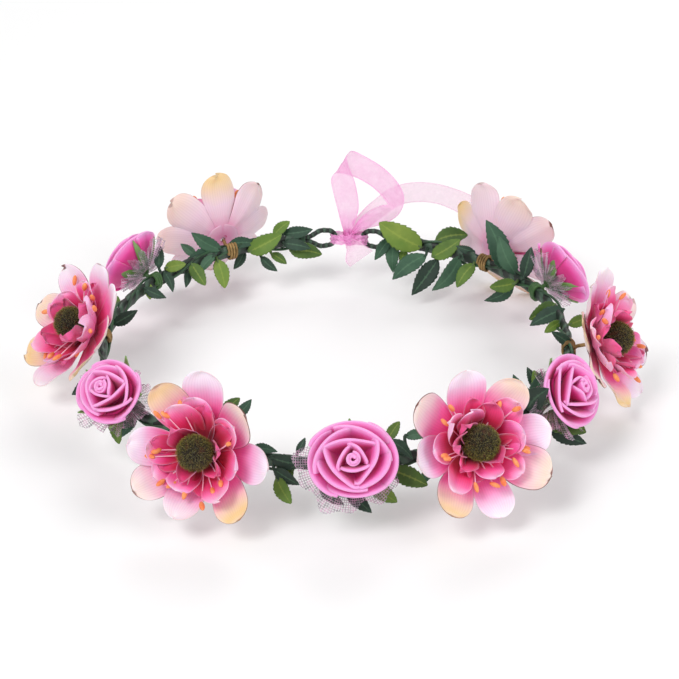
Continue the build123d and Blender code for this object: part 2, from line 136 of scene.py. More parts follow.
class Shape:
    """One mesh gathered from grids of points in millimetres, each with named values at its points."""

    def __init__(self, *names):
        self.names = names
        self.points, self.faces, self.slots, self.values, self.count = [], [], [], [], 0

    def grid(self, points, closed=False, slot=0, **values):
        """A sheet of quads over rows and columns of points. closed joins the last column to the first."""
        points = np.asarray(points, float)
        rows, cols = points.shape[:2]
        index = np.arange(rows * cols).reshape(rows, cols) + self.count
        if closed:
            index = np.hstack([index, index[:, :1]])
        quads = np.stack([index[:-1, :-1], index[:-1, 1:], index[1:, 1:], index[1:, :-1]], -1).reshape(-1, 4)
        self.points.append(points.reshape(-1, 3))
        self.faces.extend(map(tuple, quads.tolist()))
        self.slots.extend([slot] * len(quads))
        columns = [np.broadcast_to(values.get(n, 0.0), (rows, cols)).reshape(-1) for n in self.names]
        self.values.append(np.stack(columns, -1) if columns else np.zeros((rows * cols, 0)))
        self.count += rows * cols

    def build(self, name, materials, smooth=True):
        points = np.concatenate(self.points) * MM
        values = np.concatenate(self.values)
        mesh = bpy.data.meshes.new(name)
        mesh.from_pydata(points.tolist(), [], self.faces)
        for k, value_name in enumerate(self.names):
            layer = mesh.attributes.new(value_name, "FLOAT", "POINT")
            layer.data.foreach_set("value", values[:, k].astype(np.float32))
        for material in materials:
            mesh.materials.append(material)
        mesh.polygons.foreach_set("material_index", self.slots)
        mesh.polygons.foreach_set("use_smooth", [smooth] * len(mesh.polygons))
        mesh.update()
        piece = bpy.data.objects.new(name, mesh)
        bpy.context.scene.collection.objects.link(piece)
        return piece


def thicken(piece, thickness, upper_slot=0, smooth_levels=1):
    """A sheet given its thickness. Its upper side goes to upper_slot and its underside stays in slot 0."""
    if smooth_levels:
        rounder = piece.modifiers.new("rounder", "SUBSURF")
        rounder.levels = rounder.render_levels = smooth_levels
    shell = piece.modifiers.new("shell", "SOLIDIFY")
    shell.thickness = thickness * MM
    shell.offset = 0
    shell.material_offset = upper_slot
    shell.use_even_offset = False
    return piece


def settle(piece, body, slot, *nodes):
    """The piece rides on a body and stands for CAD nodes, which are hidden. Its slot is not used."""
    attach(piece, body)
    if nodes:
        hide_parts(*nodes)
    return piece


def tube(shape, path, radius, sides, **values):
    """A round tube along a path of points. radius may be one number or one for each point."""
    path = np.asarray(path, float)
    step = unit(np.gradient(path, axis=0))
    across = np.zeros_like(path)
    guide = UP if abs(step[0] @ UP) < 0.9 else np.array([1.0, 0, 0])
    for k, ahead in enumerate(step):
        guide = unit(guide - ahead * (guide @ ahead))
        across[k] = guide
    third = np.cross(step, across)
    turn = np.linspace(0, 2 * pi, sides, endpoint=False)[None, :, None]
    radius = np.broadcast_to(radius, (len(path),))[:, None, None]
    ring = across[:, None] * np.cos(turn) + third[:, None] * np.sin(turn)
    shape.grid(path[:, None] + ring * radius, closed=True, **values)
    for end in (0, -1):
        cap = np.stack([np.repeat(path[end][None], sides, 0), path[end] + ring[end] * radius[end]])
        shape.grid(cap if end else cap[::-1], closed=True)


def ball(shape, centre, radii, axis, rows=10, cols=14, slot=0, **values):
    """An ellipsoid. Its two radii are across an axis and along it."""
    lean = np.linspace(0.02, pi - 0.02, rows)[:, None]
    turn = np.linspace(0, 2 * pi, cols, endpoint=False)[None]
    wide, tall = radii
    local = np.stack([
        wide * np.sin(lean) * np.cos(turn), wide * np.sin(lean) * np.sin(turn), tall * np.cos(lean) + 0 * turn
    ], -1)
    side = np.array([1.0, 0, 0]) if abs(axis[0]) < 0.9 else np.array([0, 1.0, 0])
    shape.grid(Place(centre, side, axis).out(local)[:, ::-1], closed=True, slot=slot, **values)


# ---- materials -------------------------------------------------------------------------------------


class Finish:
    """A node material with short calls for the nodes used here."""

    def __init__(self, name, roughness, sheen=0.0):
        self.material = bpy.data.materials.new(name)
        self.material.use_nodes = True
        self.tree = self.material.node_tree
        self.shader = self.tree.nodes["Principled BSDF"]
        self.shader.inputs["Roughness"].default_value = roughness
        self.shader.inputs["Sheen Weight"].default_value = sheen
        self.shader.inputs["Sheen Roughness"].default_value = 0.45

    def node(self, kind, **inputs):
        made = self.tree.nodes.new(kind)
        for name, value in inputs.items():
            self.put(made.inputs[name.replace("_", " ")], value)
        return made

    def put(self, socket, value):
        if isinstance(value, bpy.types.NodeSocket):
            self.tree.links.new(value, socket)
        else:
            socket.default_value = value

    def value(self, name):
        made = self.tree.nodes.new("ShaderNodeAttribute")
        made.attribute_name = name
        return made.outputs["Fac"]

    def place(self):
        return self.tree.nodes.new("ShaderNodeTexCoord").outputs["Object"]

    def noise(self, scale, detail=3.0):
        made = self.node("ShaderNodeTexNoise", Scale=scale, Detail=detail, Vector=self.place())
        return made.outputs["Fac"]

    def maths(self, operation, *values, clamp=False):
        made = self.tree.nodes.new("ShaderNodeMath")
        made.operation = operation
        made.use_clamp = clamp
        for socket, value in zip(made.inputs, values):
            self.put(socket, value)
        return made.outputs[0]

    def speckled(self, name, scale, share, clamp=True):
        """A point value with some noise added."""
        speck = self.maths("MULTIPLY", self.noise(scale), share)
        return self.maths("ADD", self.value(name), speck, clamp=clamp)

    def ramp(self, factor, *stops):
        made = self.tree.nodes.new("ShaderNodeValToRGB")
        ramp = made.color_ramp
        while len(ramp.elements) < len(stops):
            ramp.elements.new(0.5)
        for element, (position, colour) in zip(ramp.elements, stops):
            element.position = position
            element.color = colour if len(colour) == 4 else (*colour, 1)
        self.put(made.inputs["Fac"], factor)
        return made.outputs["Color"]

    def mask(self, factor, low, high, top=1.0):
        """Black up to low, then rising to a grey or to white at high."""
        return self.ramp(factor, (low, (0, 0, 0)), (high, (top, top, top)))

    def mix(self, factor, first, second, blend="MIX"):
        made = self.tree.nodes.new("ShaderNodeMix")
        made.data_type = "RGBA"
        made.blend_type = blend
        for k, value in ((0, factor), (6, first), (7, second)):     # 6 and 7 are its two colours
            self.put(made.inputs[k], value)
        return made.outputs[2]

    def colour(self, value):
        self.put(self.shader.inputs["Base Color"], value)
        return self

    def bump(self, height, strength, distance):
        made = self.node("ShaderNodeBump", Height=height, Strength=strength, Distance=distance * MM)
        self.put(self.shader.inputs["Normal"], made.outputs["Normal"])
        return self


def weave(finish, per_metre):
    """A plain weave: two crossed sets of fine threads."""
    place = finish.place()
    heights = []
    for direction in ("X", "Z"):
        wave = finish.node("ShaderNodeTexWave", Vector=place, Scale=per_metre, Distortion=0.6, Detail=1.0)
        wave.bands_direction = direction
        heights.append(wave.outputs["Fac"])
    return finish.maths("ADD", *heights)


def petal_finish(name, stops, cream_share=1.0, pale_rim=0.0):
    """Printed silk: a ramp from the base to the tip, cream on some tips and a thin singed edge on some."""
    finish = Finish(name, roughness=0.62, sheen=0.35)
    along = finish.value("along")
    blotch = finish.maths("MULTIPLY_ADD", finish.noise(160.0), 0.12, -0.06)
    shifted = finish.maths("ADD", along, blotch, clamp=True)
    colour = finish.ramp(shifted, *stops)
    tip = finish.mask(shifted, 0.56, 0.92)
    cream = finish.maths("MULTIPLY", finish.value("cream"), tip)
    colour = finish.mix(finish.maths("MULTIPLY", cream, cream_share), colour, srgb(243, 208, 148))
    veins = finish.node("ShaderNodeTexWave", Scale=1.0, Distortion=1.5, Detail=2.0)
    fan = finish.maths("MULTIPLY", finish.value("across"), 2.2)
    finish.put(veins.inputs["Vector"], finish.node("ShaderNodeCombineXYZ", X=fan).outputs[0])
    vein_shade = finish.ramp(veins.outputs["Fac"], (0.0, (0.90, 0.86, 0.9)), (0.6, (1, 1, 1)))
    colour = finish.mix(0.5, colour, vein_shade, blend="MULTIPLY")
    # Front faces grow paler towards the rim, by pale_rim.
    rim_paling = finish.mask(finish.value("rim"), 0.35, 1.0)
    colour = finish.mix(finish.maths("MULTIPLY", rim_paling, pale_rim), colour, srgb(252, 236, 246))
    rim = finish.mask(finish.value("rim"), 0.90, 0.985)
    singe = finish.maths("MULTIPLY", rim, finish.value("singe"))
    colour = finish.mix(singe, colour, srgb(112, 62, 52))
    finish.colour(colour)
    finish.shader.inputs["Subsurface Weight"].default_value = 0.12
    finish.shader.inputs["Subsurface Scale"].default_value = 0.002
    return finish.bump(weave(finish, 900.0), 0.12, 0.12).material


OUTER_FRONT = petal_finish("petal_outer_front", [
    (0.34, srgb(232, 40, 116)), (0.52, srgb(254, 106, 176)),
    (0.67, srgb(253, 170, 216)), (0.82, srgb(246, 218, 240)),
    (1.0, srgb(252, 244, 252)),
], pale_rim=0.25)
OUTER_BACK = petal_finish("petal_outer_back", [
    (0.12, srgb(238, 150, 190)), (0.36, srgb(246, 204, 222)),
    (0.70, srgb(238, 212, 224)), (1.0, srgb(238, 214, 218)),
])
MIDDLE_FRONT = petal_finish("petal_middle_front", [
    (0.42, srgb(196, 10, 60)), (0.60, srgb(238, 40, 114)),
    (0.78, srgb(255, 98, 172)), (0.92, srgb(255, 160, 210)),
    (1.0, srgb(255, 208, 234)),
], cream_share=0.15, pale_rim=0.12)
MIDDLE_BACK = petal_finish("petal_middle_back", [
    (0.12, srgb(226, 74, 140)), (0.5, srgb(244, 150, 204)), (1.0, srgb(244, 190, 226)),
], cream_share=0.2)
INNER_FRONT = petal_finish("petal_inner_front", [
    (0.36, srgb(142, 6, 40)), (0.60, srgb(208, 18, 72)),
    (0.82, srgb(244, 62, 128)), (1.0, srgb(250, 112, 172)),
], cream_share=0.0, pale_rim=0.1)
INNER_BACK = petal_finish("petal_inner_back", [
    (0.15, srgb(240, 150, 200)), (0.55, srgb(250, 168, 212)), (1.0, srgb(240, 90, 156)),
], cream_share=0.0)


def flock_finish():
    """Moss-coloured fibres, olive and straw at the tip; dark at the root, down among the fibres, as painted
    shade.
    """
    finish = Finish("flock", roughness=0.95, sheen=0.2)
    # Dark at the roots and on the ball under them: painted shade among the fibres. The rust patches are real
    # colour.
    fibre_with_root_shade = finish.ramp(
        finish.speckled("tip", 700.0, 0.35),
        (0.15, srgb(22, 13, 8)), (0.5, srgb(52, 42, 16)),
        (0.85, srgb(116, 108, 42)), (1.0, srgb(170, 158, 92)),
    )
    rust = finish.mask(finish.noise(320.0), 0.56, 0.66, top=0.5)
    return finish.colour(finish.mix(rust, fibre_with_root_shade, srgb(96, 52, 28))).material


def anther_finish():
    finish = Finish("anther", roughness=0.55, sheen=0.1)
    colour = finish.ramp(finish.noise(500.0), (0.3, srgb(238, 118, 66)), (0.7, srgb(250, 168, 104)))
    return finish.colour(colour).bump(finish.noise(1500.0), 0.3, 0.1).material


def filament_finish():
    finish = Finish("filament", roughness=0.5)
    colour = finish.ramp(finish.noise(400.0), (0.3, srgb(240, 160, 190)), (0.7, srgb(250, 206, 220)))
    return finish.colour(colour).material


def foam_finish():
    """Matt foam: fine closed cells. Dark at the foot of each wall, deep in the rose, as painted shade, and
    pale at the rolled lips as painted light.
    """
    finish = Finish("foam_rose", roughness=0.72, sheen=0.3)
    # The lip value sets painted shade deep in the rose and painted light on the lips, with random tone.
    colour = finish.ramp(
        finish.speckled("lip", 220.0, 0.16), (0.06, srgb(196, 24, 110)), (0.40, srgb(232, 72, 160)),
        (0.74, srgb(244, 116, 194)), (1.0, srgb(252, 166, 224)),
    )
    finish.colour(colour)
    finish.shader.inputs["Subsurface Weight"].default_value = 0.25
    finish.shader.inputs["Subsurface Scale"].default_value = 0.002
    finish.shader.inputs["Subsurface Radius"].default_value = (1.0, 0.4, 0.7)
    cells = finish.node("ShaderNodeTexVoronoi", Scale=1800.0, Vector=finish.place())
    return finish.bump(cells.outputs["Distance"], 0.35, 0.12).material


def leaf_finish(name, dark, mid, light, back):
    """Printed leaf cloth: a pale midrib and side veins, blotches, and a shade of its own for each leaf."""
    finish = Finish(name, roughness=0.6, sheen=0.06)
    shade = finish.speckled("shade", 130.0, 0.45, clamp=False)
    shade = finish.maths("SUBTRACT", shade, 0.12, clamp=True)
    colour = finish.ramp(shade, (0.15, dark), (0.5, mid), (0.9, light))
    vein = finish.mask(finish.value("vein"), 0.55, 1.0, top=0.55)
    colour = finish.mix(vein, colour, light)
    edge = finish.mask(finish.value("rim"), 0.88, 1.0, top=0.6)
    colour = finish.mix(edge, colour, back)
    return finish.colour(colour).bump(weave(finish, 800.0), 0.15, 0.12).material


LEAF_DARK = leaf_finish(
    "leaf_dark", srgb(22, 48, 34), srgb(40, 78, 56), srgb(84, 124, 92), srgb(30, 60, 40)
)
LEAF_DARK_BACK = leaf_finish(
    "leaf_dark_back", srgb(34, 60, 44), srgb(58, 92, 70), srgb(104, 140, 112), srgb(40, 70, 50)
)
LEAF_LIGHT = leaf_finish(
    "leaf_light", srgb(52, 84, 24), srgb(96, 128, 42), srgb(150, 166, 70), srgb(60, 96, 30)
)
LEAF_LIGHT_BACK = leaf_finish(
    "leaf_light_back", srgb(84, 110, 56), srgb(120, 144, 80), srgb(170, 180, 110), srgb(90, 110, 50)
)


def tape_finish():
    """Waxed paper tape: crepe wrinkles across it, a little shine; paler on each lap's raised edge and darker
    at its foot, as painted highlight and painted shade.
    """
    finish = Finish("tape", roughness=0.48)
    # Ridge value plus random tone: painted highlight on each lap's edge, painted shade at its foot.
    lap_highlight_and_shade = finish.speckled("ridge", 240.0, 0.5, clamp=False)
    colour = finish.ramp(
        lap_highlight_and_shade, (0.25, srgb(12, 18, 14)), (0.75, srgb(26, 42, 32)), (1.0, srgb(58, 84, 66))
    )
    return finish.colour(colour).bump(finish.noise(1100.0, 5.0), 0.55, 0.25).material


def stalk_finish():
    finish = Finish("stalk", roughness=0.5)
    colour = finish.ramp(finish.noise(200.0), (0.3, srgb(22, 44, 28)), (0.7, srgb(52, 92, 58)))
    return finish.colour(colour).bump(finish.noise(900.0), 0.3, 0.15).material


def paper_wire_finish():
    """Paper-covered binding wire: tan, with a fine noise bump."""
    finish = Finish("paper_wire", roughness=0.8)
    colour = finish.ramp(finish.noise(300.0), (0.3, srgb(104, 78, 40)), (0.7, srgb(168, 136, 84)))
    return finish.colour(colour).bump(finish.noise(1400.0, 4.0), 0.6, 0.2).material


def calyx_finish():
    finish = Finish("calyx", roughness=0.5, sheen=0.1)
    colour = finish.ramp(
        finish.speckled("along", 160.0, 0.3),
        (0.1, srgb(44, 84, 36)), (0.6, srgb(98, 138, 66)), (1.0, srgb(128, 160, 96)),
    )
    return finish.colour(colour).bump(finish.noise(800.0), 0.25, 0.15).material


def net_finish():
    """Fine net: crossed threads with holes between them, and threads of silver in the pink."""
    finish = Finish("net", roughness=0.45, sheen=0.4)
    threads = []
    for along in ("warp", "weft"):
        wave = finish.maths("SINE", finish.maths("MULTIPLY", finish.value(along), 2 * pi))
        threads.append(finish.maths("GREATER_THAN", wave, 0.55))
    solid = finish.maths("MAXIMUM", *threads)
    glint = finish.ramp(
        finish.noise(420.0), (0.42, srgb(222, 178, 208)), (0.56, srgb(168, 160, 170)), (0.7, srgb(92, 84, 96))
    )
    finish.colour(glint)
    finish.put(finish.shader.inputs["Alpha"], finish.maths("MULTIPLY_ADD", solid, 0.72, 0.06))
    return finish.material


def organza_finish(name, body_alpha, colour, deep):
    """Sheer organza: see-through between its threads, denser at the selvedges and where it is gathered."""
    finish = Finish(name, roughness=0.4, sheen=0.5)
    crinkle = finish.noise(180.0, 4.0)
    selvedge = finish.mask(finish.value("rim"), 0.86, 0.95)
    finish.colour(finish.mix(finish.value("gather"), finish.ramp(crinkle, (0.3, deep), (0.7, colour)), deep))
    cloth = finish.maths("MULTIPLY_ADD", crinkle, 0.22, body_alpha - 0.11)
    dense = finish.maths("ADD", cloth, finish.maths("MULTIPLY", selvedge, 0.22))
    dense = finish.maths("ADD", dense, finish.maths("MULTIPLY", finish.value("gather"), 0.45), clamp=True)
    finish.put(finish.shader.inputs["Alpha"], dense)
    return finish.bump(weave(finish, 1500.0), 0.15, 0.1).material


FLOCK, ANTHER, FILAMENT, FOAM = flock_finish(), anther_finish(), filament_finish(), foam_finish()
TAPE, STALK, PAPER_WIRE = tape_finish(), stalk_finish(), paper_wire_finish()
CALYX, NET = calyx_finish(), net_finish()
ORGANZA = organza_finish("organza", 0.50, srgb(252, 200, 236), srgb(245, 142, 212))
ORGANZA_PALE = organza_finish("organza_pale", 0.36, srgb(252, 206, 234), srgb(248, 170, 220))

# ---- silk flowers ------------------------------------------------------------------------------------

# How far out from the middle and how high each layer of petals lies.
OUTER_SLOPE = [(1.2, 0.2), (4.5, 0.5), (16, 3.3), (28.5, 9.6)]
MIDDLE_SLOPE = [(1.2, 1.0), (4.5, 1.5), (13, 4.5), (24, 11.0)]
INNER_SLOPE = [(1.2, 1.9), (4.0, 2.3), (9, 4.2), (15, 7.0)]
PETAL_ROOT = 2.0      # how far out from the middle a petal starts

# Petals of the two front flowers and the back left one: turn from its even place, length, cream at the
# tip, singed edge, and lift of the tip.
PETALS = {
    "flower_front_left": [
        (-1, 28.0, 0.0, 0.15, 0.5), (-3, 25.0, 0.45, 1.0, 4.5), (4, 29.0, 0.0, 0.0, 0.0),
        (-4, 27.5, 0.9, 0.5, 0.5), (4, 26.0, 0.0, 0.0, 0.0), (-4, 27.5, 0.35, 0.8, 1.0),
        (-9, 24.0, 0.1, 0.0, 2.5), (0, 28.5, 1.0, 0.7, 0.0),
    ],
    "flower_front_right": [
        (-6, 27.5, 0.0, 0.0, 0.0), (-4, 26.5, 0.55, 0.0, 0.5), (-1, 26.0, 0.0, 0.0, 0.0),
        (2, 28.5, 0.35, 1.0, 4.0), (0, 25.5, 0.0, 0.1, 1.5), (5.5, 28.5, 0.9, 0.7, 2.5),
        (4, 27.5, 0.0, 0.0, -0.5), (5.5, 29.0, 0.5, 0.9, 0.5),
    ],
    "flower_back_left": [
        (0, 26.5, 0.2, 0.0, 0.0), (-4, 27.5, 0.3, 0.5, 0.0), (0, 28.0, 0.95, 0.3, 0.0),
        (4, 27.5, 0.1, 1.0, 0.0), (0, 26.0, 0.0, 0.0, 0.0), (0, 25.5, 0.0, 0.2, 0.0),
        (0, 24.0, 0.1, 0.0, 1.0), (0, 25.5, 0.0, 0.0, 0.0),
    ],
}
# How far each head is turned about its own axis, in degrees.
TURNS = {
    "flower_front_left": 0, "flower_front_right": 3, "flower_right": 10, "flower_back_right": 20,
    "flower_back_left": 0, "flower_left": 12,
}
PETAL_COUNT, INNER_COUNT, SEPAL_COUNT = 8, 9, 5
SEEDS = {name: 11 + 7 * k for k, name in enumerate(TURNS)}


def petal_list(flower, draw):
    if flower in PETALS:
        return PETALS[flower]
    tips = draw.permutation([0.0, 0.0, 0.1, 0.9, 0.0, 0.6, 0.3, 1.0])
    edges = draw.permutation([0.0, 0.0, 0.9, 0.2, 0.6, 0.0, 1.0, 0.4])
    return [
        (draw.uniform(-5, 5), draw.uniform(25.5, 28.5), tips[k], edges[k], draw.uniform(-1, 2.5))
        for k in range(PETAL_COUNT)
    ]


def petal_width(u, widest, narrow):
    """Half width as a share of the widest: a stalk-like base opening to a round tip."""
    base = narrow + (1 - narrow) * smoothstep(u, -0.05, widest)
    tip = np.sqrt(np.clip(1 - (np.clip((u - widest) / (1 - widest), 0, 1)) ** 2.5, 0, 1))
    return np.where(u < widest, base, tip)


def petal_points(draw, slope, length, half_width, widest, narrow, cup, lift, wave, rows=22, cols=15):
    """A petal along +X: dished across, following a slope lengthways, its rim gently rippled."""
    u = 1 - (1 - np.linspace(0, 1, rows)) ** 2
    v = np.sin(np.linspace(-pi / 2, pi / 2, cols))
    uu, vv = np.meshgrid(u, v, indexing="ij")
    radii, heights = np.array(slope).T
    reach = PETAL_ROOT + (length - PETAL_ROOT) * uu
    fall = np.interp(reach * radii[-1] / length, radii, heights)
    wide = half_width * petal_width(uu, widest, narrow)
    x, y = reach, vv * wide
    z = fall + cup * vv**2 * (0.3 + 0.7 * smoothstep(uu, 0.0, 0.7)) * (1 - 0.6 * smoothstep(uu, 0.75, 1.0))
    z = z + lift * smoothstep(uu, 0.45, 1.0) ** 1.5
    phase = draw.uniform(0, 2 * pi, 4)
    edge = np.abs(vv) ** 2 * smoothstep(uu, 0.25, 0.8) + smoothstep(uu, 0.8, 1.0)
    ripple = np.sin(uu * 9 + phase[0] + np.sign(vv) * phase[1]) + 0.6 * np.sin(uu * 17 + vv * 4 + phase[2])
    z = z + wave * edge * ripple
    z = z + 0.55 * wave * np.sin(vv * 6 + phase[3]) * smoothstep(uu, 0.15, 0.6)
    crease = -0.35 * np.exp(-((vv / 0.12) ** 2)) * smoothstep(uu, 0.05, 0.3) * (1 - smoothstep(uu, 0.7, 0.95))
    skew = draw.uniform(-0.9, 0.9)
    points = np.stack([x, y + skew * smoothstep(uu, 0.3, 1.0), z + crease], -1)
    rim = np.maximum(np.abs(vv) ** 6, smoothstep(uu, 0.9, 1.0))
    return points, uu, vv, rim


def spun(points, degrees_round):
    a = radians(degrees_round)
    turn = np.array([[cos(a), sin(a), 0], [-sin(a), cos(a), 0], [0, 0, 1]])
    return points @ turn


def tilted(points, degrees_up, about_radius):
    """Points swung up about a line across the petal at some radius."""
    a = radians(degrees_up)
    shifted = points - [about_radius, 0, 0]
    turn = np.array([[cos(a), 0, sin(a)], [0, 1, 0], [-sin(a), 0, cos(a)]])
    return shifted @ turn + [about_radius, 0, 0]


VALUES = ("along", "across", "rim", "cream", "singe")


def hub(shape, place, slope, radius):
    sides, usual_length = 32, 28
    turn = np.linspace(0, 2 * pi, sides, endpoint=False)
    ring = np.linspace(1.2, radius, 6)
    height = np.interp(ring, *np.array(slope).T)
    points = np.stack([
        ring[:, None] * np.cos(turn), ring[:, None] * np.sin(turn), np.repeat(height[:, None], sides, 1)
    ], -1)
    shape.grid(place.out(points), closed=True, along=(ring / usual_length)[:, None])


def outer_layer(flower, place, draw, petals):
    shape = Shape(*VALUES)
    hub(shape, place, OUTER_SLOPE, 7.5)
    for k, (turn, length, cream, singe, lift) in enumerate(petals):
        points, u, v, rim = petal_points(
            draw, OUTER_SLOPE, length, draw.uniform(7.0, 8.1), 0.68, 0.26, cup=draw.uniform(0.6, 2.4),
            lift=lift, wave=draw.uniform(0.25, 0.6),
        )
        points[..., 2] += 0.22 * v + 0.25 * (k % 2)
        points = spun(points, 360 / PETAL_COUNT * k + turn)
        shape.grid(place.out(points), along=u, across=v, rim=rim, cream=cream, singe=singe)
    return thicken(shape.build(f"{flower}_outer_layer", [OUTER_BACK, OUTER_FRONT]), 0.28, upper_slot=1)


def middle_layer(flower, place, draw, petals):
    shape = Shape(*VALUES)
    hub(shape, place, MIDDLE_SLOPE, 6.0)
    for k, (turn, length, cream, _, lift) in enumerate(petals):
        points, u, v, rim = petal_points(
            draw, MIDDLE_SLOPE, length * draw.uniform(0.62, 0.80), draw.uniform(5.2, 6.5), 0.64, 0.34,
            cup=draw.uniform(1.0, 3.4), lift=lift * 0.6, wave=draw.uniform(0.35, 0.8),
        )
        points[..., 2] += 0.2 * v
        points = tilted(points, draw.choice([0, 0, 4, 12, 20]), 7.0)
        points = spun(points, 360 / PETAL_COUNT * k + turn + draw.uniform(-12, 12))
        shape.grid(place.out(points), along=u, across=v, rim=rim, cream=cream * 0.6)
    return thicken(shape.build(f"{flower}_middle_layer", [MIDDLE_BACK, MIDDLE_FRONT]), 0.26, upper_slot=1)


def inner_layer(flower, place, draw):
    """Narrow petals standing round the centre: some cupped, some folded along their length, some rolled."""
    shape = Shape(*VALUES)
    for k in range(INNER_COUNT):
        fold = draw.choice([1.2, 2.2, 3.8])
        points, u, v, rim = petal_points(
            draw, INNER_SLOPE, draw.uniform(14.5, 18.5), draw.uniform(3.7, 4.9), 0.60, 0.42, cup=fold,
            lift=draw.uniform(-2.0, 3.0), wave=draw.uniform(0.4, 0.9), rows=18, cols=13,
        )
        points[..., 0] += 0.9 * (1 - np.abs(v)) * smoothstep(u, 0.8, 1.0)
        roll = draw.uniform(-34, 34)
        points = tilted(points, draw.choice([4, 10, 20, 32]), 4.0)
        points[..., 2] += np.tan(radians(roll)) * points[..., 1] * smoothstep(u, 0.1, 0.6)
        points = spun(points, 11 + 360 / INNER_COUNT * k + draw.uniform(-8, 8))
        shape.grid(place.out(points), along=u, across=v, rim=rim, singe=0.3)
    return thicken(shape.build(f"{flower}_inner_layer", [INNER_BACK, INNER_FRONT]), 0.24, upper_slot=1)


# Where the anthers of the two front flowers point, turning from the right over the top.
ANTHER_TURNS = {
    "flower_front_left": [118, 134, 150, 186, 200, 236, 254, 268, 284, 300, 318, 20],
    "flower_front_right": [122, 140, 176, 192, 250, 268, 284, 312, 330, 344, 30, 48],
}


def stamen_ring(flower, place, draw):
    """Wavy filaments in loose clumps, each with a bean-shaped anther."""
    shape = Shape()
    steps = 14
    for turn in ANTHER_TURNS.get(flower, range(0, 360, 30)):
        turn = turn + draw.uniform(-6, 6)
        reach, height = draw.uniform(13.5, 18.5), draw.uniform(9.0, 13.0)
        middle = (reach * 0.5, draw.uniform(-1.0, 1.0), height * 0.62)
        tip = np.array([reach, draw.uniform(-1.6, 1.6), height])
        path = curve_through([(2.6, 0, 3.2), (5.2, 0, 5.2), middle, tip], steps)
        tube(shape, place.out(spun(path, turn)), np.linspace(0.32, 0.22, steps), sides=7)
        ahead = unit(path[-1] - path[-3]) + draw.uniform(-0.5, 0.5, 3)
        centre = place.out(spun((tip + ahead * 0.8)[None], turn))[0]
        direction = place.out(spun((tip + ahead)[None], turn))[0] - place.out(spun(tip[None], turn))[0]
        radii = (draw.uniform(0.8, 1.05), draw.uniform(1.7, 2.2))
        ball(shape, centre, radii, unit(direction), slot=1)
    return shape.build(f"{flower}_stamen_ring", [FILAMENT, ANTHER])


def flocked_centre(flower, place, draw):
    """A foam ball covered in short fibres."""
    shape = Shape("tip")
    radius, height = 5.75, 10.3
    # The ball's tip value of 0.1 gives it the near-black of the fibre roots: painted shade under the fibres.
    ball(shape, place.out([[0, 0, height]])[0], (radius, radius), place.axes[2], rows=24, cols=36, tip=0.1)
    count = 2600
    lift = 1 - 1.75 * (np.arange(count) + 0.5) / count
    turn = np.arange(count) * pi * (3 - 5**0.5)
    flat = np.sqrt(1 - lift**2)
    away = np.stack([flat * np.cos(turn), flat * np.sin(turn), lift], -1) + draw.normal(0, 0.10, (count, 3))
    away = unit(away)
    lean = unit(away + draw.normal(0, 0.42, (count, 3)))
    length = draw.uniform(0.6, 1.5, count)[:, None]
    root, tip = away * (radius - 0.15), away * radius + lean * length
    side = unit(np.cross(lean, UP + 0.01))
    other = np.cross(lean, side)
    wide = 0.12
    around = [side, 0.87 * other - 0.5 * side, -0.87 * other - 0.5 * side]
    foot = np.stack([root + wide * a for a in around], 1) + [0, 0, height]
    point = np.stack([tip + 0.25 * wide * a for a in around], 1) + [0, 0, height]
    for low, high in zip(foot, point):
        # Tip values run from 0.15 at the root, painted shade, to 0.85 at the fibre's end.
        shape.grid(place.out(np.stack([low, high])), closed=True, tip=np.array([[0.15], [0.85]]))
    return shape.build(f"{flower}_flocked_centre", [FLOCK], smooth=False)


flower_joints = {j["child"]: j for j in frame["joints"] if j["child"].startswith("flower")}
for flower, joint in flower_joints.items():
    draw = np.random.default_rng(SEEDS[flower])
    place = head_place(np.array(joint["pos_m"]) / MM, joint["axis"], TURNS[flower])
    petals = petal_list(flower, draw)
    settle(outer_layer(flower, place, draw, petals), flower, "petal_outer", f"{flower}_outer_petals")
    settle(middle_layer(flower, place, draw, petals), flower, "petal_middle", f"{flower}_middle_petals")
    settle(inner_layer(flower, place, draw), flower, "petal_inner", f"{flower}_inner_petals")
    settle(stamen_ring(flower, place, draw), flower, "stamen", f"{flower}_stamens")
    settle(flocked_centre(flower, place, draw), flower, "flock", f"{flower}_centre")


# ---- foam roses --------------------------------------------------------------------------------------

# Angle on the band, facing azimuth, upward tilt, distance out from the band, turn about its own axis.
ROSES = {
    "rose_front": (3, 2, 36, 7.5, 0),
    "rose_right_front": (55, 60, 36, 8.0, 0),
    "rose_right_back": (115, 121, 20, 6.0, 15),
    "rose_left_back": (235, 236, 24, 6.0, 60),
    "rose_left_front": (302.5, 322, 46, 6.5, 0),
}
SECTION_ROSES = {
    "front": ["rose_front"],
    "left": ["rose_left_front", "rose_left_back"],
    "right": ["rose_right_front", "rose_right_back"],
}
BODY = {"front": "front", "left": "left_arm", "right": "right_arm"}
# Rings of foam petals from the middle out: how many, span of each, flatness, radius at the foot and at the
# lip, height at the foot and at the lip, roll of the lip.
ROSE_RINGS = [
    (3, 128, 0.9, 2.4, 4.1, 8.0, 15.2, 0.7), (3, 132, 0.9, 3.8, 7.3, 6.0, 15.0, 1.2),
    (4, 118, 0.45, 4.6, 10.6, 4.4, 13.4, 1.7), (4, 124, 0.2, 5.6, 13.9, 3.4, 10.4, 1.6),
]
# Three roses are wider or narrower and flatter than the others.
ROSE_STRETCH = {
    "rose_front": (1.06, 0.90), "rose_left_front": (0.92, 0.76), "rose_right_front": (1.06, 0.86),
}


def rose_axis(azimuth, tilt):
    return outward(azimuth) * cos(radians(tilt)) + UP * sin(radians(tilt))


def rose_place(rose):
    angle, azimuth, tilt, reach, turn = ROSES[rose]
    axis = rose_axis(azimuth, tilt)
    return head_place(band_point(angle) + axis * reach, axis, turn)


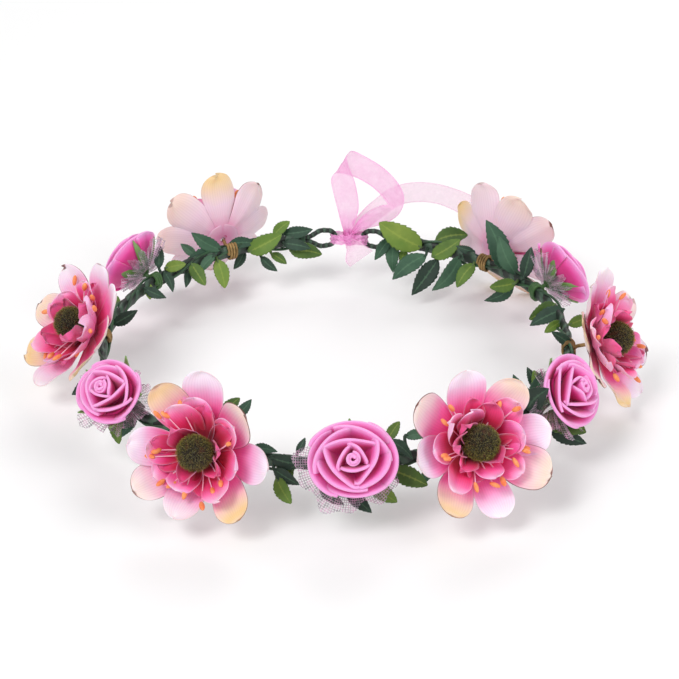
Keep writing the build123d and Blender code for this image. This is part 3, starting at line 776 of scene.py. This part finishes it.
def foam_petal(draw, centre_turn, span, flatness, foot_r, lip_r, foot_z, lip_z, roll):
    """A wall of foam that leans out, flat across in the inner rings, its lip peaked and rolled back."""
    rows, cols = 13, 21
    h = np.linspace(0, 1, rows)[:, None]
    a = np.linspace(-1, 1, cols)[None]
    turn = radians(span) / 2 * a
    chord = 1 / np.cos(np.clip(turn, -1.05, 1.05)) ** (0.8 * flatness)
    chord = chord / chord[0, cols // 4]
    peak = 1 - 0.13 * np.abs(a) ** 2.2 * (1 + flatness)
    lean = 1 - (1 - h) ** 2
    radius = (foot_r + (lip_r - foot_r) * lean) * chord
    radius = radius + roll * smoothstep(h, 0.62, 1.0) * (1 - 0.3 * a**2)
    radius = radius + 0.6 * a * (0.4 + 0.6 * h) - 1.1 * np.abs(a) ** 6 * h
    z = foot_z + (lip_z - foot_z) * h**1.2 * peak
    z = z - roll * 0.6 * smoothstep(h, 0.84, 1.0)
    phase = draw.uniform(0, 2 * pi)
    radius = radius + 0.28 * h**2 * np.sin(2.6 * a + phase)
    z = z + 0.3 * h**2 * np.sin(3.4 * a - phase)
    angle = radians(centre_turn) + turn
    points = np.stack([radius * np.cos(angle), radius * np.sin(angle), z + 0 * a], -1)
    # Low at the foot, deep in the rose, and high at the lip: painted shade and painted light in the foam
    # colour.
    lip = 0.12 + 0.88 * smoothstep(h, 0.45, 1.0) + 0.10 * np.abs(a) ** 3
    return points, np.clip(lip + 0 * a, 0, 1)


def foam_rose(rose):
    place = rose_place(rose)
    draw = np.random.default_rng(101 + 13 * list(ROSES).index(rose))
    shape = Shape("lip")
    # The bud: one strip of foam wound in a spiral.
    turns = np.linspace(0, 2.25 * 2 * pi, 66)[None]
    h = np.linspace(0, 1, 9)[:, None]
    spiral = 0.35 + 0.40 * turns / (2 * pi) * 1.9
    top = 15.6 - 0.35 * turns / (2 * pi) + 0.35 * np.sin(turns * 1.5)
    flare = 0.45 * smoothstep(h, 0.6, 1.0)
    radius = spiral * (0.72 + 0.28 * h) + flare
    z = 6.5 + (top - 6.5) * h
    bud = np.stack([radius * np.cos(turns), radius * np.sin(turns), z], -1)
    shape.grid(place.out(bud), lip=0.2 + 0.7 * h**2)
    start = draw.uniform(0, 360)
    wide, tall = ROSE_STRETCH.get(rose, (1, 1))
    for count, span, flatness, foot_r, lip_r, foot_z, lip_z, roll in ROSE_RINGS:
        start += 180 / count + draw.uniform(-8, 8)
        for k in range(count):
            points, lip = foam_petal(
                draw, start + 360 / count * k + draw.uniform(-6, 6), span * draw.uniform(0.94, 1.06),
                flatness, foot_r, lip_r * draw.uniform(0.95, 1.04), foot_z,
                lip_z * draw.uniform(0.96, 1.02), roll,
            )
            shape.grid(place.out(points * [wide, tall, 1]), lip=lip)
    under = np.linspace(0.2, 1, 8)[:, None]
    turn = np.linspace(0, 2 * pi, 40, endpoint=False)[None]
    bowl_r, bowl_z = 8.4 * under, 2.9 + 3.4 * under**2
    bowl = np.stack([bowl_r * np.cos(turn), bowl_r * np.sin(turn), bowl_z + 0 * turn], -1)
    # The bowl under the bloom takes a low lip value: painted shade.
    shape.grid(place.out(bowl), closed=True, lip=0.2)
    piece = thicken(shape.build(f"foam_{rose}", [FOAM]), 0.95)
    return piece


def sepals(shape, place, draw):
    """The green calyx under a rose: a cup and five pointed sepals that follow the bloom's back."""
    turn = np.linspace(0, 2 * pi, 24, endpoint=False)[None]
    h = np.linspace(0, 1, 7)[:, None]
    cup_r, cup_z = 1.1 + 2.5 * h**0.7, -0.9 + 2.6 * h
    cup = np.stack([cup_r * np.cos(turn), cup_r * np.sin(turn), cup_z + 0 * turn], -1)
    shape.grid(place.out(cup), closed=True, along=0.2 * h)
    for k in range(SEPAL_COUNT):
        u = np.linspace(0, 1, 14)[:, None]
        v = np.linspace(-1, 1, 7)[None]
        wide = 2.9 * (1 - u**1.8) * (0.75 + 0.5 * u) + 0.05
        reach = 2.4 + 12.2 * u + 0 * v
        height = 1.0 + 8.2 * u**1.7 + 0.35 * v**2 - 0.5 * (1 - v**2) * smoothstep(u, 0.0, 0.4)
        height = height + draw.uniform(-1.4, 0.0) * u**2
        points = np.stack([reach, v * wide + 0.4 * np.sin(u * 5 + k), height], -1)
        shape.grid(place.out(spun(points, 18 + 360 / SEPAL_COUNT * k + draw.uniform(-5, 5))), along=u)


def wound_wire(shape, angle, axis, end, draw, turns=3.5):
    """A stem of wire wound round the band, then led out along the head's axis."""
    t = np.linspace(0, 1, int(turns * 22))
    swing = t * turns * 2 * pi
    along = (t - 0.5) * turns * 1.25
    centre = band_point(angle)
    wide, tall = 2.35, 3.35
    out = outward(angle)
    coil = (
        centre + np.outer(np.cos(swing) * wide, out) + np.outer(np.sin(swing) * tall, UP)
        + np.outer(along + draw.normal(0, 0.04, len(t)), tangent(angle))
    )
    tube(shape, coil, 0.52, sides=8)
    start = centre + axis * 2.2
    bend = start + axis * 2.0 + tangent(angle) * 0.5
    tube(shape, curve_through([coil[-1], start, bend, centre + axis * end], 18), 0.75, sides=9)
    step = tangent(angle) * 1.6
    tail = curve_through([coil[0], coil[0] - step + UP, coil[0] - 2 * step - UP * 0.5], 10)
    tube(shape, tail, 0.5, sides=8)


SECTION_FLOWERS = {
    "front": ["flower_front_left", "flower_front_right"],
    "left": ["flower_left", "flower_back_left"],
    "right": ["flower_right", "flower_back_right"],
}
# The angle on the band at which each flower's stem is wound.
FLOWER_ANGLE = {
    "flower_front_left": -28.5, "flower_front_right": 29, "flower_right": 84, "flower_back_right": 136,
    "flower_back_left": 209, "flower_left": 268,
}

for rose in ROSES:
    section = next(s for s, names in SECTION_ROSES.items() if rose in names)
    settle(foam_rose(rose), BODY[section], "foam_rose", rose)

for section, body in BODY.items():
    draw = np.random.default_rng(300 + len(section))
    stems = Shape()
    for flower in SECTION_FLOWERS[section]:
        joint = flower_joints[flower]
        axis = np.array(joint["axis"])
        reach = np.linalg.norm(np.array(joint["pos_m"]) / MM - band_point(FLOWER_ANGLE[flower]))
        wound_wire(stems, FLOWER_ANGLE[flower], axis, reach - 0.4, draw)
    piece = stems.build(f"wound_flower_stems_{section}", [PAPER_WIRE])
    settle(piece, body, "stem", f"flower_stems_{section}")
    green = Shape("along")
    for rose in SECTION_ROSES[section]:
        angle, azimuth, tilt, reach, _ = ROSES[rose]
        sepals(green, rose_place(rose), draw)
        wound_wire(green, angle, rose_axis(azimuth, tilt), reach + 0.3, draw, turns=2.5)
    calyx = thicken(green.build(f"sepals_{section}", [CALYX]), 0.35, smooth_levels=0)
    settle(calyx, body, "calyx", f"rose_calyxes_{section}")


# ---- net under the roses -----------------------------------------------------------------------------


# Where a net spreads furthest from its rose, turning from the right over the top, and by how much.
NET_LOBES = {
    "rose_front": [(175, 6.0), (218, 5.5), (262, 2.5), (300, 4.0), (0, 5.0)],
    "rose_right_back": [(60, 5.0)],
    "rose_left_back": [(120, 5.0)],
}
NET_WINGS = [(0, 7.0), (180, 7.0), (255, 4.0)]


def gathered_net(shape, place, draw, lobes):
    """A strip of net gathered at the rose's foot: pleats that open into ragged wings."""
    turns, rings = 120, 14
    turn = np.linspace(0, 2 * pi, turns + 1)[None]
    u = np.linspace(0, 1, rings)[:, None]
    wing = 10.2 + 1.6 * np.sin(5 * turn + draw.uniform(0, 6)) + 1.2 * np.sin(11 * turn)
    for toward, size in lobes:
        wing = wing + size * np.exp(3.0 * (np.cos(turn - radians(toward)) - 1))
    reach = 1.6 + (wing - 1.6) * u
    pleat = 1.5 * u * np.sin(13 * turn + draw.uniform(0, 6)) + 0.8 * u * np.sin(29 * turn)
    height = -0.6 + 3.4 * u**1.4 + pleat
    points = np.stack([reach * np.cos(turn), reach * np.sin(turn), height], -1)
    shape.grid(place.out(points), warp=reach / 0.85, weft=turn * 18 / 0.95 + 0 * u)


for section, body in BODY.items():
    net = Shape("warp", "weft")
    draw = np.random.default_rng(500 + len(section))
    for rose in SECTION_ROSES[section]:
        angle, azimuth, tilt, reach, _ = ROSES[rose]
        axis = rose_axis(azimuth, tilt)
        place = head_place(band_point(angle) + axis * reach, axis, 0)
        gathered_net(net, place, draw, NET_LOBES.get(rose, NET_WINGS))
    piece = net.build(f"gathered_net_{section}", [NET])
    settle(piece, body, "net", f"tulle_{section}")


# ---- leaves ------------------------------------------------------------------------------------------

# Each leaf: its angle on the band, then where its blade starts and where it ends, each as a step to the
# right, up the tilted face that the sprigs are pressed against, and out of that face.
DARK_LEAVES = {
    "front": [
        (-35, (-1, 3, -1.5), (-8, 8.5, -3)), (-26, (3.5, 12, -1), (9.5, 18.5, -3)),
        (-20, (0.5, 2.5, 2.5), (10, 2, 4)), (-15, (0, 1, 2.5), (13, -1.5, 2)),
        (-14, (-0.5, -3, 2), (9, -8.5, 4)), (-9, (0, 3, -2), (3, 8.5, -4)),
        (-4, (0, -8, 1.5), (9, -14.5, 4)), (2, (0, -9.5, 1.5), (9, -17.5, 4)),
        (12, (-0.5, 7, 1.5), (8, 0.5, 3)), (16, (-1, 7.5, 0), (8, 8, -1)),
        (23, (0, -3, -1), (-5, -12, -2)), (35.5, (1, 3, -1.5), (6, 9.5, -3.5)),
    ],
    "left": [
        (194, (0, 3.5, -1), (13, 5, 0)), (194, (0, -1, 3), (12, -3.5, 4)),
        (201, (1, -5, 1.5), (8, -11.5, 2)), (205, (0, -1, -2.5), (-5, -9, -4)),
        (209, (-1, 3, 0.5), (10.5, 3.5, -1)), (212, (0, 1.5, 3), (-12.5, 9, 5)),
        (213, (0, 2, 2), (-15, -4.5, 3)), (214, (0, 0, 4.5), (-6.5, -8, 6)),
        (220, (0, 2.5, -2), (-7, 8, -4)), (224, (1, -1.5, 1), (0.5, -9, 2)),
        (231, (-0.5, 1.5, 3), (3.5, -7, 5)), (232, (-1.5, 3.5, 1.5), (-1.5, 14, 0)),
        (240, (0.5, 0, 2.5), (9.5, -4, 5)), (242, (-0.5, 1, 2.5), (-5, -5, 4)),
        (260, (1, -0.5, 2), (11, 5, 4)), (283, (-2, -1.5, 0), (-13, -10, -5)),
        (286, (0, -2.5, 1), (-8, -13, -3)), (300, (0, 0.5, 3), (8, -2.5, 3.5)),
        (304, (-1, -1, 3), (-9, -4, 4)), (306, (0, -0.5, 4), (-5.5, -9, 5)),
    ],
    "right": [
        (52, (-1.5, 0.5, 4), (5.5, 9.5, 21)), (53, (-1.5, 1.5, 3), (3, 14, 3)),
        (54, (-1.5, 2.5, 1), (-8.5, 12, 0)), (54.5, (4, -7, 2), (18, -14, 4)),
        (58, (-2.5, 3.5, -1), (-6, 12, -3)), (85, (1, 0.5, 2.5), (-7, 6, 3)),
        (102, (2.5, 2, 1.5), (-11.5, -5, 3)), (122, (0.5, 1, 4), (4, 14, 3)),
        (123, (-2.5, -2.5, 2), (-14.5, -9, 3)), (125, (0.5, 1, 2.5), (-6.5, 17, 3)),
        (130, (0, 0.5, 3), (-6.5, 21, 4)), (140, (0.5, 3, 0), (-7, 5.5, -1)),
        (144, (-0.5, -1, 2.5), (-12.5, -15.5, 4)), (148, (0, 2.5, -2), (6, 9, -4)),
        (150, (-1.5, -4.5, 1.5), (-13, -19.5, 3)), (154, (-1, -4, 5), (-15.5, -15, 8)),
        (162.5, (-3.5, 1.5, 3.5), (-10.5, -8, 4.5)), (163.5, (0, 0, 2.5), (-1, -14, 4)),
    ],
}
LIGHT_LEAVES = {
    "front": [
        (-29, (3.5, 11, -1), (9.5, 18, -2)), (-13, (-1, -6, 2), (4.5, -15, 4)),
        (-10, (0, -3, -2), (-6, -9, -3.5)), (7, (0.5, -7, 1.5), (10, -14, 3.5)),
        (12, (0.5, -3.5, 2), (13, -9, 3.5)), (12, (-1, 7, -0.5), (3.5, 13.5, -1.5)),
        (20, (0, 2.5, -2), (5, 9, -4)),
    ],
    "left": [
        (192, (0, -4.5, 1.5), (13.5, -6, 0)), (198, (2, 3.5, 0), (9, 9.5, -1)),
        (198, (1, -4.5, 2), (7.5, -9, 3)), (204, (0.5, -2, 2), (14.5, 5, 4)),
        (214, (1, -2, 2.5), (4.5, -14, 4)), (222, (0.5, 0, 3), (6.5, -9.5, 5)),
        (230, (-1, 2.5, 2.5), (8, 4, 5)), (237, (-0.5, 0, 2.5), (0, -6.5, 3.5)),
        (250, (-2, 1, -1), (-11, 4, -3)), (300, (-3, -3.5, 2), (-2.5, -16, 4)),
        (302, (1, 2.5, -1), (2.5, 9.5, -3)),
    ],
    "right": [
        (54, (1.5, -4.5, 2), (18, -9.5, 6)), (56, (0, 3, -2), (-2, 12, -4)),
        (95, (2, 1, -1), (11, 4, -3)), (98, (-0.5, 0, 2), (-7, -4.5, 2)),
        (106, (1, 1, 3.5), (-10, -5, 6)), (123, (-2, -1.5, 4), (-13, -3, 6)),
        (139, (-1, -2, 1.5), (-8.5, -11.5, 3)), (152, (0.5, 3, 0), (14.5, 5, 1)),
        (152, (-1, -4, 3), (11, 3, 6)), (156, (0, -1, 3), (-18, 10, 5)),
        (160, (-1, -2.5, 1), (-2.5, -9.5, 1)),
    ],
}

LEAF_TILT = 29      # the face that the sprigs are pressed against leans back by this


def leaf_step(right, up, out):
    """A step off the band to the right, up the tilted face and out of it."""
    lean = radians(LEAF_TILT)
    return np.array([right, up * sin(lean) - out * cos(lean), up * cos(lean) + out * sin(lean)])


def serrated_leaf(shape, place, length, width, draw, teeth, blunt):
    """A leaf of stiff cloth: toothed edge, folded a little at the midrib, arched and curled by hand."""
    rows, cols = 61, 9
    u = np.linspace(0, 1, rows)[:, None]
    v = np.linspace(-1, 1, cols)[None]
    outline = np.sin(pi * u**0.80) ** blunt
    saw = (u * teeth) % 1.0
    half = width / 2 * np.maximum(outline * (1 - 0.13 * saw * (np.abs(v) > 0.9)), 0.05)
    y = v * half
    z = 4 * u * (1 - u) * length * 0.07
    z = z + draw.uniform(0.06, 0.20) * np.abs(y) + draw.uniform(-0.10, 0.10) * length * u**2.5
    z = z + 0.10 * np.sin(u * 23 + draw.uniform(0, 6)) * v**2
    bend = draw.uniform(-0.07, 0.07) * length * np.sin(pi * u)
    twist = radians(draw.uniform(-28, 28)) * (u - 0.1)
    points = np.stack([length * u + 0 * v, y * np.cos(twist) + bend, z + y * np.sin(twist)], -1)
    side_vein = 0.5 + 0.5 * np.cos(2 * pi * (u * 6.5 - 0.9 * np.abs(v)))
    vein = np.maximum(np.exp(-((v / 0.10) ** 2)), 0.62 * side_vein**6 * (np.abs(v) < 0.92))
    shape.grid(place.out(points), shade=draw.uniform(0.0, 0.55), vein=vein, rim=np.abs(v) + 0 * u)


def leaf_on_stalk(shape, angle, foot, tip, share, draw, teeth, blunt):
    stalk, blade = leaf_step(*foot), leaf_step(*tip) - leaf_step(*foot)
    length = np.linalg.norm(blade)
    face = np.cross(blade, np.cross(leaf_step(0, 0, 1), blade))
    roll = radians(draw.uniform(-24, 24))
    side = np.cross(face, blade) / length
    rolled = face * cos(roll) + side * sin(roll)
    start = band_point(angle) + stalk
    serrated_leaf(shape, Place(start, blade, rolled), length, length * share, draw, teeth, blunt)
    tangent_foot = start + blade / length * 2.0
    path = curve_through([band_point(angle) + stalk / np.linalg.norm(stalk) * 0.8, start, tangent_foot], 9)
    tube(shape, path, np.linspace(0.62, 0.36, 9), sides=7)


LEAF_KINDS = {
    "dark": (DARK_LEAVES, 0.46, 9, 0.80, [LEAF_DARK_BACK, LEAF_DARK]),
    "light": (LIGHT_LEAVES, 0.56, 8, 0.64, [LEAF_LIGHT_BACK, LEAF_LIGHT]),
}
for kind, (lists, share, teeth, blunt, finishes) in LEAF_KINDS.items():
    for section, body in BODY.items():
        draw = np.random.default_rng(700 + len(kind) + 10 * len(section))
        foliage = Shape("shade", "vein", "rim")
        for angle, foot, tip in lists[section]:
            leaf_on_stalk(foliage, angle, foot, tip, share, draw, teeth, blunt)
        piece = foliage.build(f"{kind}_foliage_{section}", finishes)
        piece = thicken(piece, 0.22, upper_slot=1, smooth_levels=0)
        settle(piece, body, f"leaf_{kind}", f"{kind}_leaves_{section}")


# ---- band --------------------------------------------------------------------------------------------


def wrapped_band(name, start, end, tape_turn):
    """Floral tape wound in a spiral round the doubled wire: each turn laps the last in a low ridge."""
    shape = Shape("ridge")
    steps = int(abs(end - start) * RING_R * pi / 180 / 0.55)
    along = np.linspace(start, end, steps)
    turn = np.linspace(0, 2 * pi, 26, endpoint=False)
    arc = radians(1) * along * RING_R
    lap = ((arc[:, None] / 7.5 * tape_turn + turn[None] / (2 * pi)) % 1.0)
    rise = 0.34 * smoothstep(lap, 0.0, 0.10) * (1 - 0.75 * smoothstep(lap, 0.10, 1.0))
    lump = 0.16 * np.sin(arc * 0.31 + 1)[:, None] + 0.10 * np.sin(arc[:, None] * 0.83 + 2 * turn[None])
    wide, tall = 1.35 + rise + lump, 2.45 + rise + lump
    waist = 1 - 0.10 * np.cos(2 * turn) ** 8
    outs = np.stack([outward(a) for a in along])
    centre = RING_R * outs + BAND_Z * UP
    points = (
        centre[:, None] + outs[:, None] * (np.cos(turn) * waist)[None, :, None] * wide[..., None]
        + UP * np.sin(turn)[None, :, None] * tall[..., None]
    )
    # The ridge value gives the tape its painted highlight on each lap's edge and painted shade at its foot.
    shape.grid(points[::-1], closed=True, ridge=(1 - lap)[::-1])
    return shape.build(name, [TAPE])


def loop_points(end, way):
    """The end loop: two runs leave the tape, part, and meet in a U."""
    a, b, far = WIRE_SPACING / 2, LOOP_HALF_H, LOOP_LENGTH - WRAP_R
    bend = [(far - b + b * sin(t), b * cos(t)) for t in np.linspace(0, pi, 9)]
    flat = [(-1.5, a), (2.0, a), (6.5, b)] + bend + [(6.5, -b), (2.0, -a), (-1.5, -a)]
    return [band_point(end) + tangent(end) * way * x + UP * z for x, z in flat]


def wrapped_loop(name, end, way):
    shape = Shape("ridge")
    path = curve_through(loop_points(end, way), 150)
    arc = np.cumsum(np.linalg.norm(np.gradient(path, axis=0), axis=1))
    lap = (arc / 2.6) % 1.0
    # The ridge value gives the tape its painted highlight on each thick lap and painted shade where it thins.
    tube(shape, path, 1.0 + 0.16 * (1 - lap), sides=14, ridge=(1 - lap)[:, None])
    return shape.build(name, [TAPE])


def stalk_strand(name, start, end, phase, thick):
    """A thin leaf stalk that winds loosely along the band."""
    shape = Shape()
    along = np.linspace(start, end, int(abs(end - start) * 2.2))
    swing = np.radians(along * 9) + phase
    drift = 0.5 * np.sin(np.radians(along * 23) + phase)
    path = [
        band_point(a) + outward(a) * (2.0 + d) * cos(s) + UP * (3.0 + d) * sin(s)
        for a, s, d in zip(along, swing, drift)
    ]
    tube(shape, np.array(path), thick, sides=8)
    return shape.build(name, [STALK])


def over_hinge(piece):
    """Bakes the piece's placement into its mesh."""
    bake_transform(piece)
    return piece


for section, hinge, way, tape_end in (
    ("left", LEFT_HINGE, -1, TAPE_ENDS[0] - 360), ("right", RIGHT_HINGE, 1, TAPE_ENDS[1])
):
    arm = BODY[section]
    band = over_hinge(wrapped_band(f"wrapped_band_{section}", 0, tape_end, way))
    front_nodes = ["band_tape_front", "band_core_front"] if way > 0 else []
    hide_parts(f"band_tape_{section}", f"band_core_{section}", *front_nodes)
    loop = wrapped_loop(f"wrapped_loop_{section}", tape_end, way)
    settle(loop, arm, "tape")
    for k in range(2):
        phase, thick = 2.1 * k + way, 0.62 - 0.1 * k
        strand = stalk_strand(f"leaf_stalk_{section}_{k}", way * 2, tape_end - way, phase, thick)
        over_hinge(strand)


# ---- ribbon ------------------------------------------------------------------------------------------

TIE = Place(band_point(TIE_ANGLE), -tangent(TIE_ANGLE), UP)   # X to the right, Y back, Z up


def ribbon_strip(name, rails, finish, gather, rows=90, crinkle=0.25, seed=1):
    """A ribbon between two rails, each a short list of given points, with fine crinkles along it."""
    draw = np.random.default_rng(seed)
    one, other = (curve_through(rail, rows) for rail in rails)
    v = np.linspace(0, 1, 13)[None, :, None]
    points = one[:, None] * (1 - v) + other[:, None] * v
    across = other - one
    along = np.gradient((one + other) / 2, axis=0)
    normal = np.cross(along, across)
    normal /= np.linalg.norm(normal, axis=1)[:, None] + 1e-9
    u = np.linspace(0, 1, rows)[:, None]
    vv = v[..., 0]
    sway = 0.6 * np.sin(u * 9 + draw.uniform(0, 6))
    fine = np.sin(2 * pi * (vv * 2.2 + sway)) * 0.5 + 0.3 * np.sin(u * 60 + vv * 5)
    gathered = np.interp(u, *np.array(gather).T)
    points = points + normal[:, None] * (fine * crinkle * (0.5 + 2.2 * gathered))[..., None]
    shape = Shape("rim", "gather")
    shape.grid(TIE.out(points), rim=np.abs(2 * vv - 1) + 0 * u, gather=gathered + 0 * vv)
    return shape.build(name, [finish])


BOW_LEFT_RAIL = [
    (-1.8, 0, 1), (-3.6, -1, 9), (-5.6, -1.5, 18), (-7.4, -1.5, 27), (-6.6, -0.5, 30.2),
    (-3.4, 1, 30.6), (3.4, 1.5, 28.2), (10.6, 1.5, 23.6), (15.4, 1.0, 18.6), (16.8, 0, 16.6),
    (14.0, -1, 16.4), (9.6, -1, 14.2), (5.0, -0.5, 10.0), (1.2, 0, 3.6),
]
BOW_RIGHT_RAIL = [
    (1.1, 0, 1), (2.6, -1, 8), (4.4, -1.5, 16), (3.0, -1.5, 27), (-0.4, -1.4, 37.0), (0.8, 0.6, 41.2),
    (5.8, 1.6, 39.0), (14.6, 1.5, 33.4), (21.6, 1.5, 25.6), (24.0, 0, 19.0), (22.0, -1, 12.8),
    (16.6, -1, 8.2), (10.0, -1.2, 6.0), (5.2, -1.6, 4.8), (1.6, -0.5, 1.6),
]
TAIL_UPPER_RAIL = [
    (1.0, 4, 6), (9.0, 5.5, 14.5), (18.0, 7.5, 21.0), (28.0, 10.5, 22.6), (40.0, 14.0, 20.0),
    (52.0, 17.5, 14.0), (64.0, 20.5, 5.5),
]
TAIL_LOWER_RAIL = [
    (3.0, 4, -1), (14.0, 5.5, 7.5), (21.0, 7.5, 12.4), (29.0, 10.5, 13.0), (38.5, 14.0, 10.6),
    (48.0, 17.5, 4.6), (58.0, 20.5, -3.0),
]
SHORT_UPPER_RAIL = [(-0.5, -1.5, 1.5), (3.0, -2.5, 0.5), (7.5, -3.0, -2.0), (10.5, -3.2, -4.5)]
SHORT_LOWER_RAIL = [(-1.5, -1.5, -1.5), (-1.0, -2.5, -5.0), (-1.5, -3.0, -9.5), (0.5, -3.2, -12.5)]

bow = ribbon_strip(
    "organza_bow", (BOW_LEFT_RAIL, BOW_RIGHT_RAIL), ORGANZA, [(0, 1), (0.14, 0.1), (0.86, 0.2), (1, 1)],
    rows=150,
)
long_tail = ribbon_strip(
    "organza_long_tail", (TAIL_UPPER_RAIL, TAIL_LOWER_RAIL), ORGANZA_PALE,
    [(0, 0.8), (0.2, 0.1), (1, 0)], seed=2,
)
short_tail = ribbon_strip(
    "organza_short_tail", (SHORT_UPPER_RAIL, SHORT_LOWER_RAIL), ORGANZA_PALE, [(0, 1), (0.6, 0.1), (1, 0)],
    rows=40, seed=3,
)
settle(bow, "front", "ribbon", "ribbon_bow_and_tails")
settle(long_tail, "front", "ribbon")
settle(short_tail, "front", "ribbon")


def ribbon_knot():
    """The knot: three lapped folds pulled tight across each other."""
    shape = Shape("rim", "gather")
    for lean, size, shift in ((16, 1.0, 0), (-30, 0.86, 0.3), (66, 0.68, -0.3)):
        t = np.linspace(0, 2 * pi, 40)[:, None]
        v = np.linspace(-1, 1, 15)[None]
        wide = size * (3.6 + 0.45 * np.cos(2 * t)) * (1 - 0.10 * v**2) + 0.22 * np.sin(v * 11 + 3 * np.sin(t))
        level = 2.6 * v * size + 0.5 * np.sin(t + shift)
        local = np.stack([wide * np.cos(t) * 0.62, wide * np.sin(t) * 0.85, level], -1)
        shape.grid(TIE.out(tilted(local, lean, 0) + [shift, 0, 0.4]), rim=np.abs(v) + 0 * t, gather=0.75)
    return shape.build("organza_knot", [ORGANZA])


settle(ribbon_knot(), "front", "ribbon", "ribbon_knot")

# The upper edge of the strand that goes from the knot round one wire end loop and back.
STRAND_RAIL = [
    (0.5, -1.6, 2.2), (3.5, -2.0, 2.4), (6.6, -1.6, 2.2), (8.2, 0.6, 1.8), (6.6, 2.6, 2.0),
    (3.0, 2.4, 2.2), (0.5, 1.6, 2.0),
]

for section, way in (("left", -1), ("right", 1)):
    over = [(way * x, y, z) for x, y, z in STRAND_RAIL]
    under = [(x, y, z - 4.6) for x, y, z in over]
    strand = ribbon_strip(
        f"organza_strand_{section}", (over, under), ORGANZA, [(0, 0.7), (0.5, 0.6), (1, 0.7)], rows=60,
        crinkle=0.3, seed=5,
    )
    arm = BODY[section]
    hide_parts(f"ribbon_strand_{section}")
    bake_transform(strand)


# ---- stage, light and camera ----------------------------------------------------------------------


FLOOR_Z = -0.0006      # just under the lowest petal tips


def stage():
    mesh = bpy.data.meshes.new("floor")
    mesh.from_pydata([(-3, -3, 0), (3, -3, 0), (3, 3, 0), (-3, 3, 0)], [], [(0, 1, 2, 3)])
    floor = bpy.data.objects.new("floor", mesh)
    floor.location.z = FLOOR_Z
    finish = Finish("floor", roughness=0.9)
    finish.colour(srgb(245, 245, 245))
    mesh.materials.append(finish.material)
    bpy.context.scene.collection.objects.link(floor)


LAMP_TARGET = Vector((0, 0, 0.02))


def lamp(name, place, size, power):
    data = bpy.data.lights.new(name, "AREA")
    data.shape = "DISK"
    data.size = size
    data.energy = power
    light = bpy.data.objects.new(name, data)
    light.location = place
    light.rotation_euler = (LAMP_TARGET - Vector(place)).to_track_quat("-Z", "Y").to_euler()
    bpy.context.scene.collection.objects.link(light)


def studio():
    bpy.context.scene.view_settings.view_transform = "Standard"
    world = bpy.data.worlds.new("studio")
    world.use_nodes = True
    world.node_tree.nodes["Background"].inputs["Color"].default_value = (1.0, 1.0, 1.0, 1.0)
    world.node_tree.nodes["Background"].inputs["Strength"].default_value = 0.6
    bpy.context.scene.world = world
    lamp("key", (-0.7, -0.9, 1.3), 0.7, 12)
    lamp("fill", (1.0, -0.6, 0.8), 0.9, 5)
    lamp("back", (0.2, 1.1, 1.0), 0.8, 5)


ELEVATION, DISTANCE, ROLL = 28.8, 0.8, -0.7
SENSOR, LENS, SHIFT = 36.0, 106.7594, 0.0057


def camera():
    data = bpy.data.cameras.new("camera")
    data.sensor_width = SENSOR
    data.lens = LENS
    data.shift_x = SHIFT
    eye = bpy.data.objects.new("camera", data)
    centre = Vector((0, 0, BAND_Z * MM))
    away = Vector((0, -cos(radians(ELEVATION)), sin(radians(ELEVATION))))
    eye.location = centre + away * DISTANCE
    level = away.to_track_quat("Z", "Y").to_matrix()
    eye.rotation_euler = (level @ Matrix.Rotation(radians(ROLL), 3, "Z")).to_euler()
    bpy.context.scene.collection.objects.link(eye)
    bpy.context.scene.camera = eye


stage()
studio()
camera()
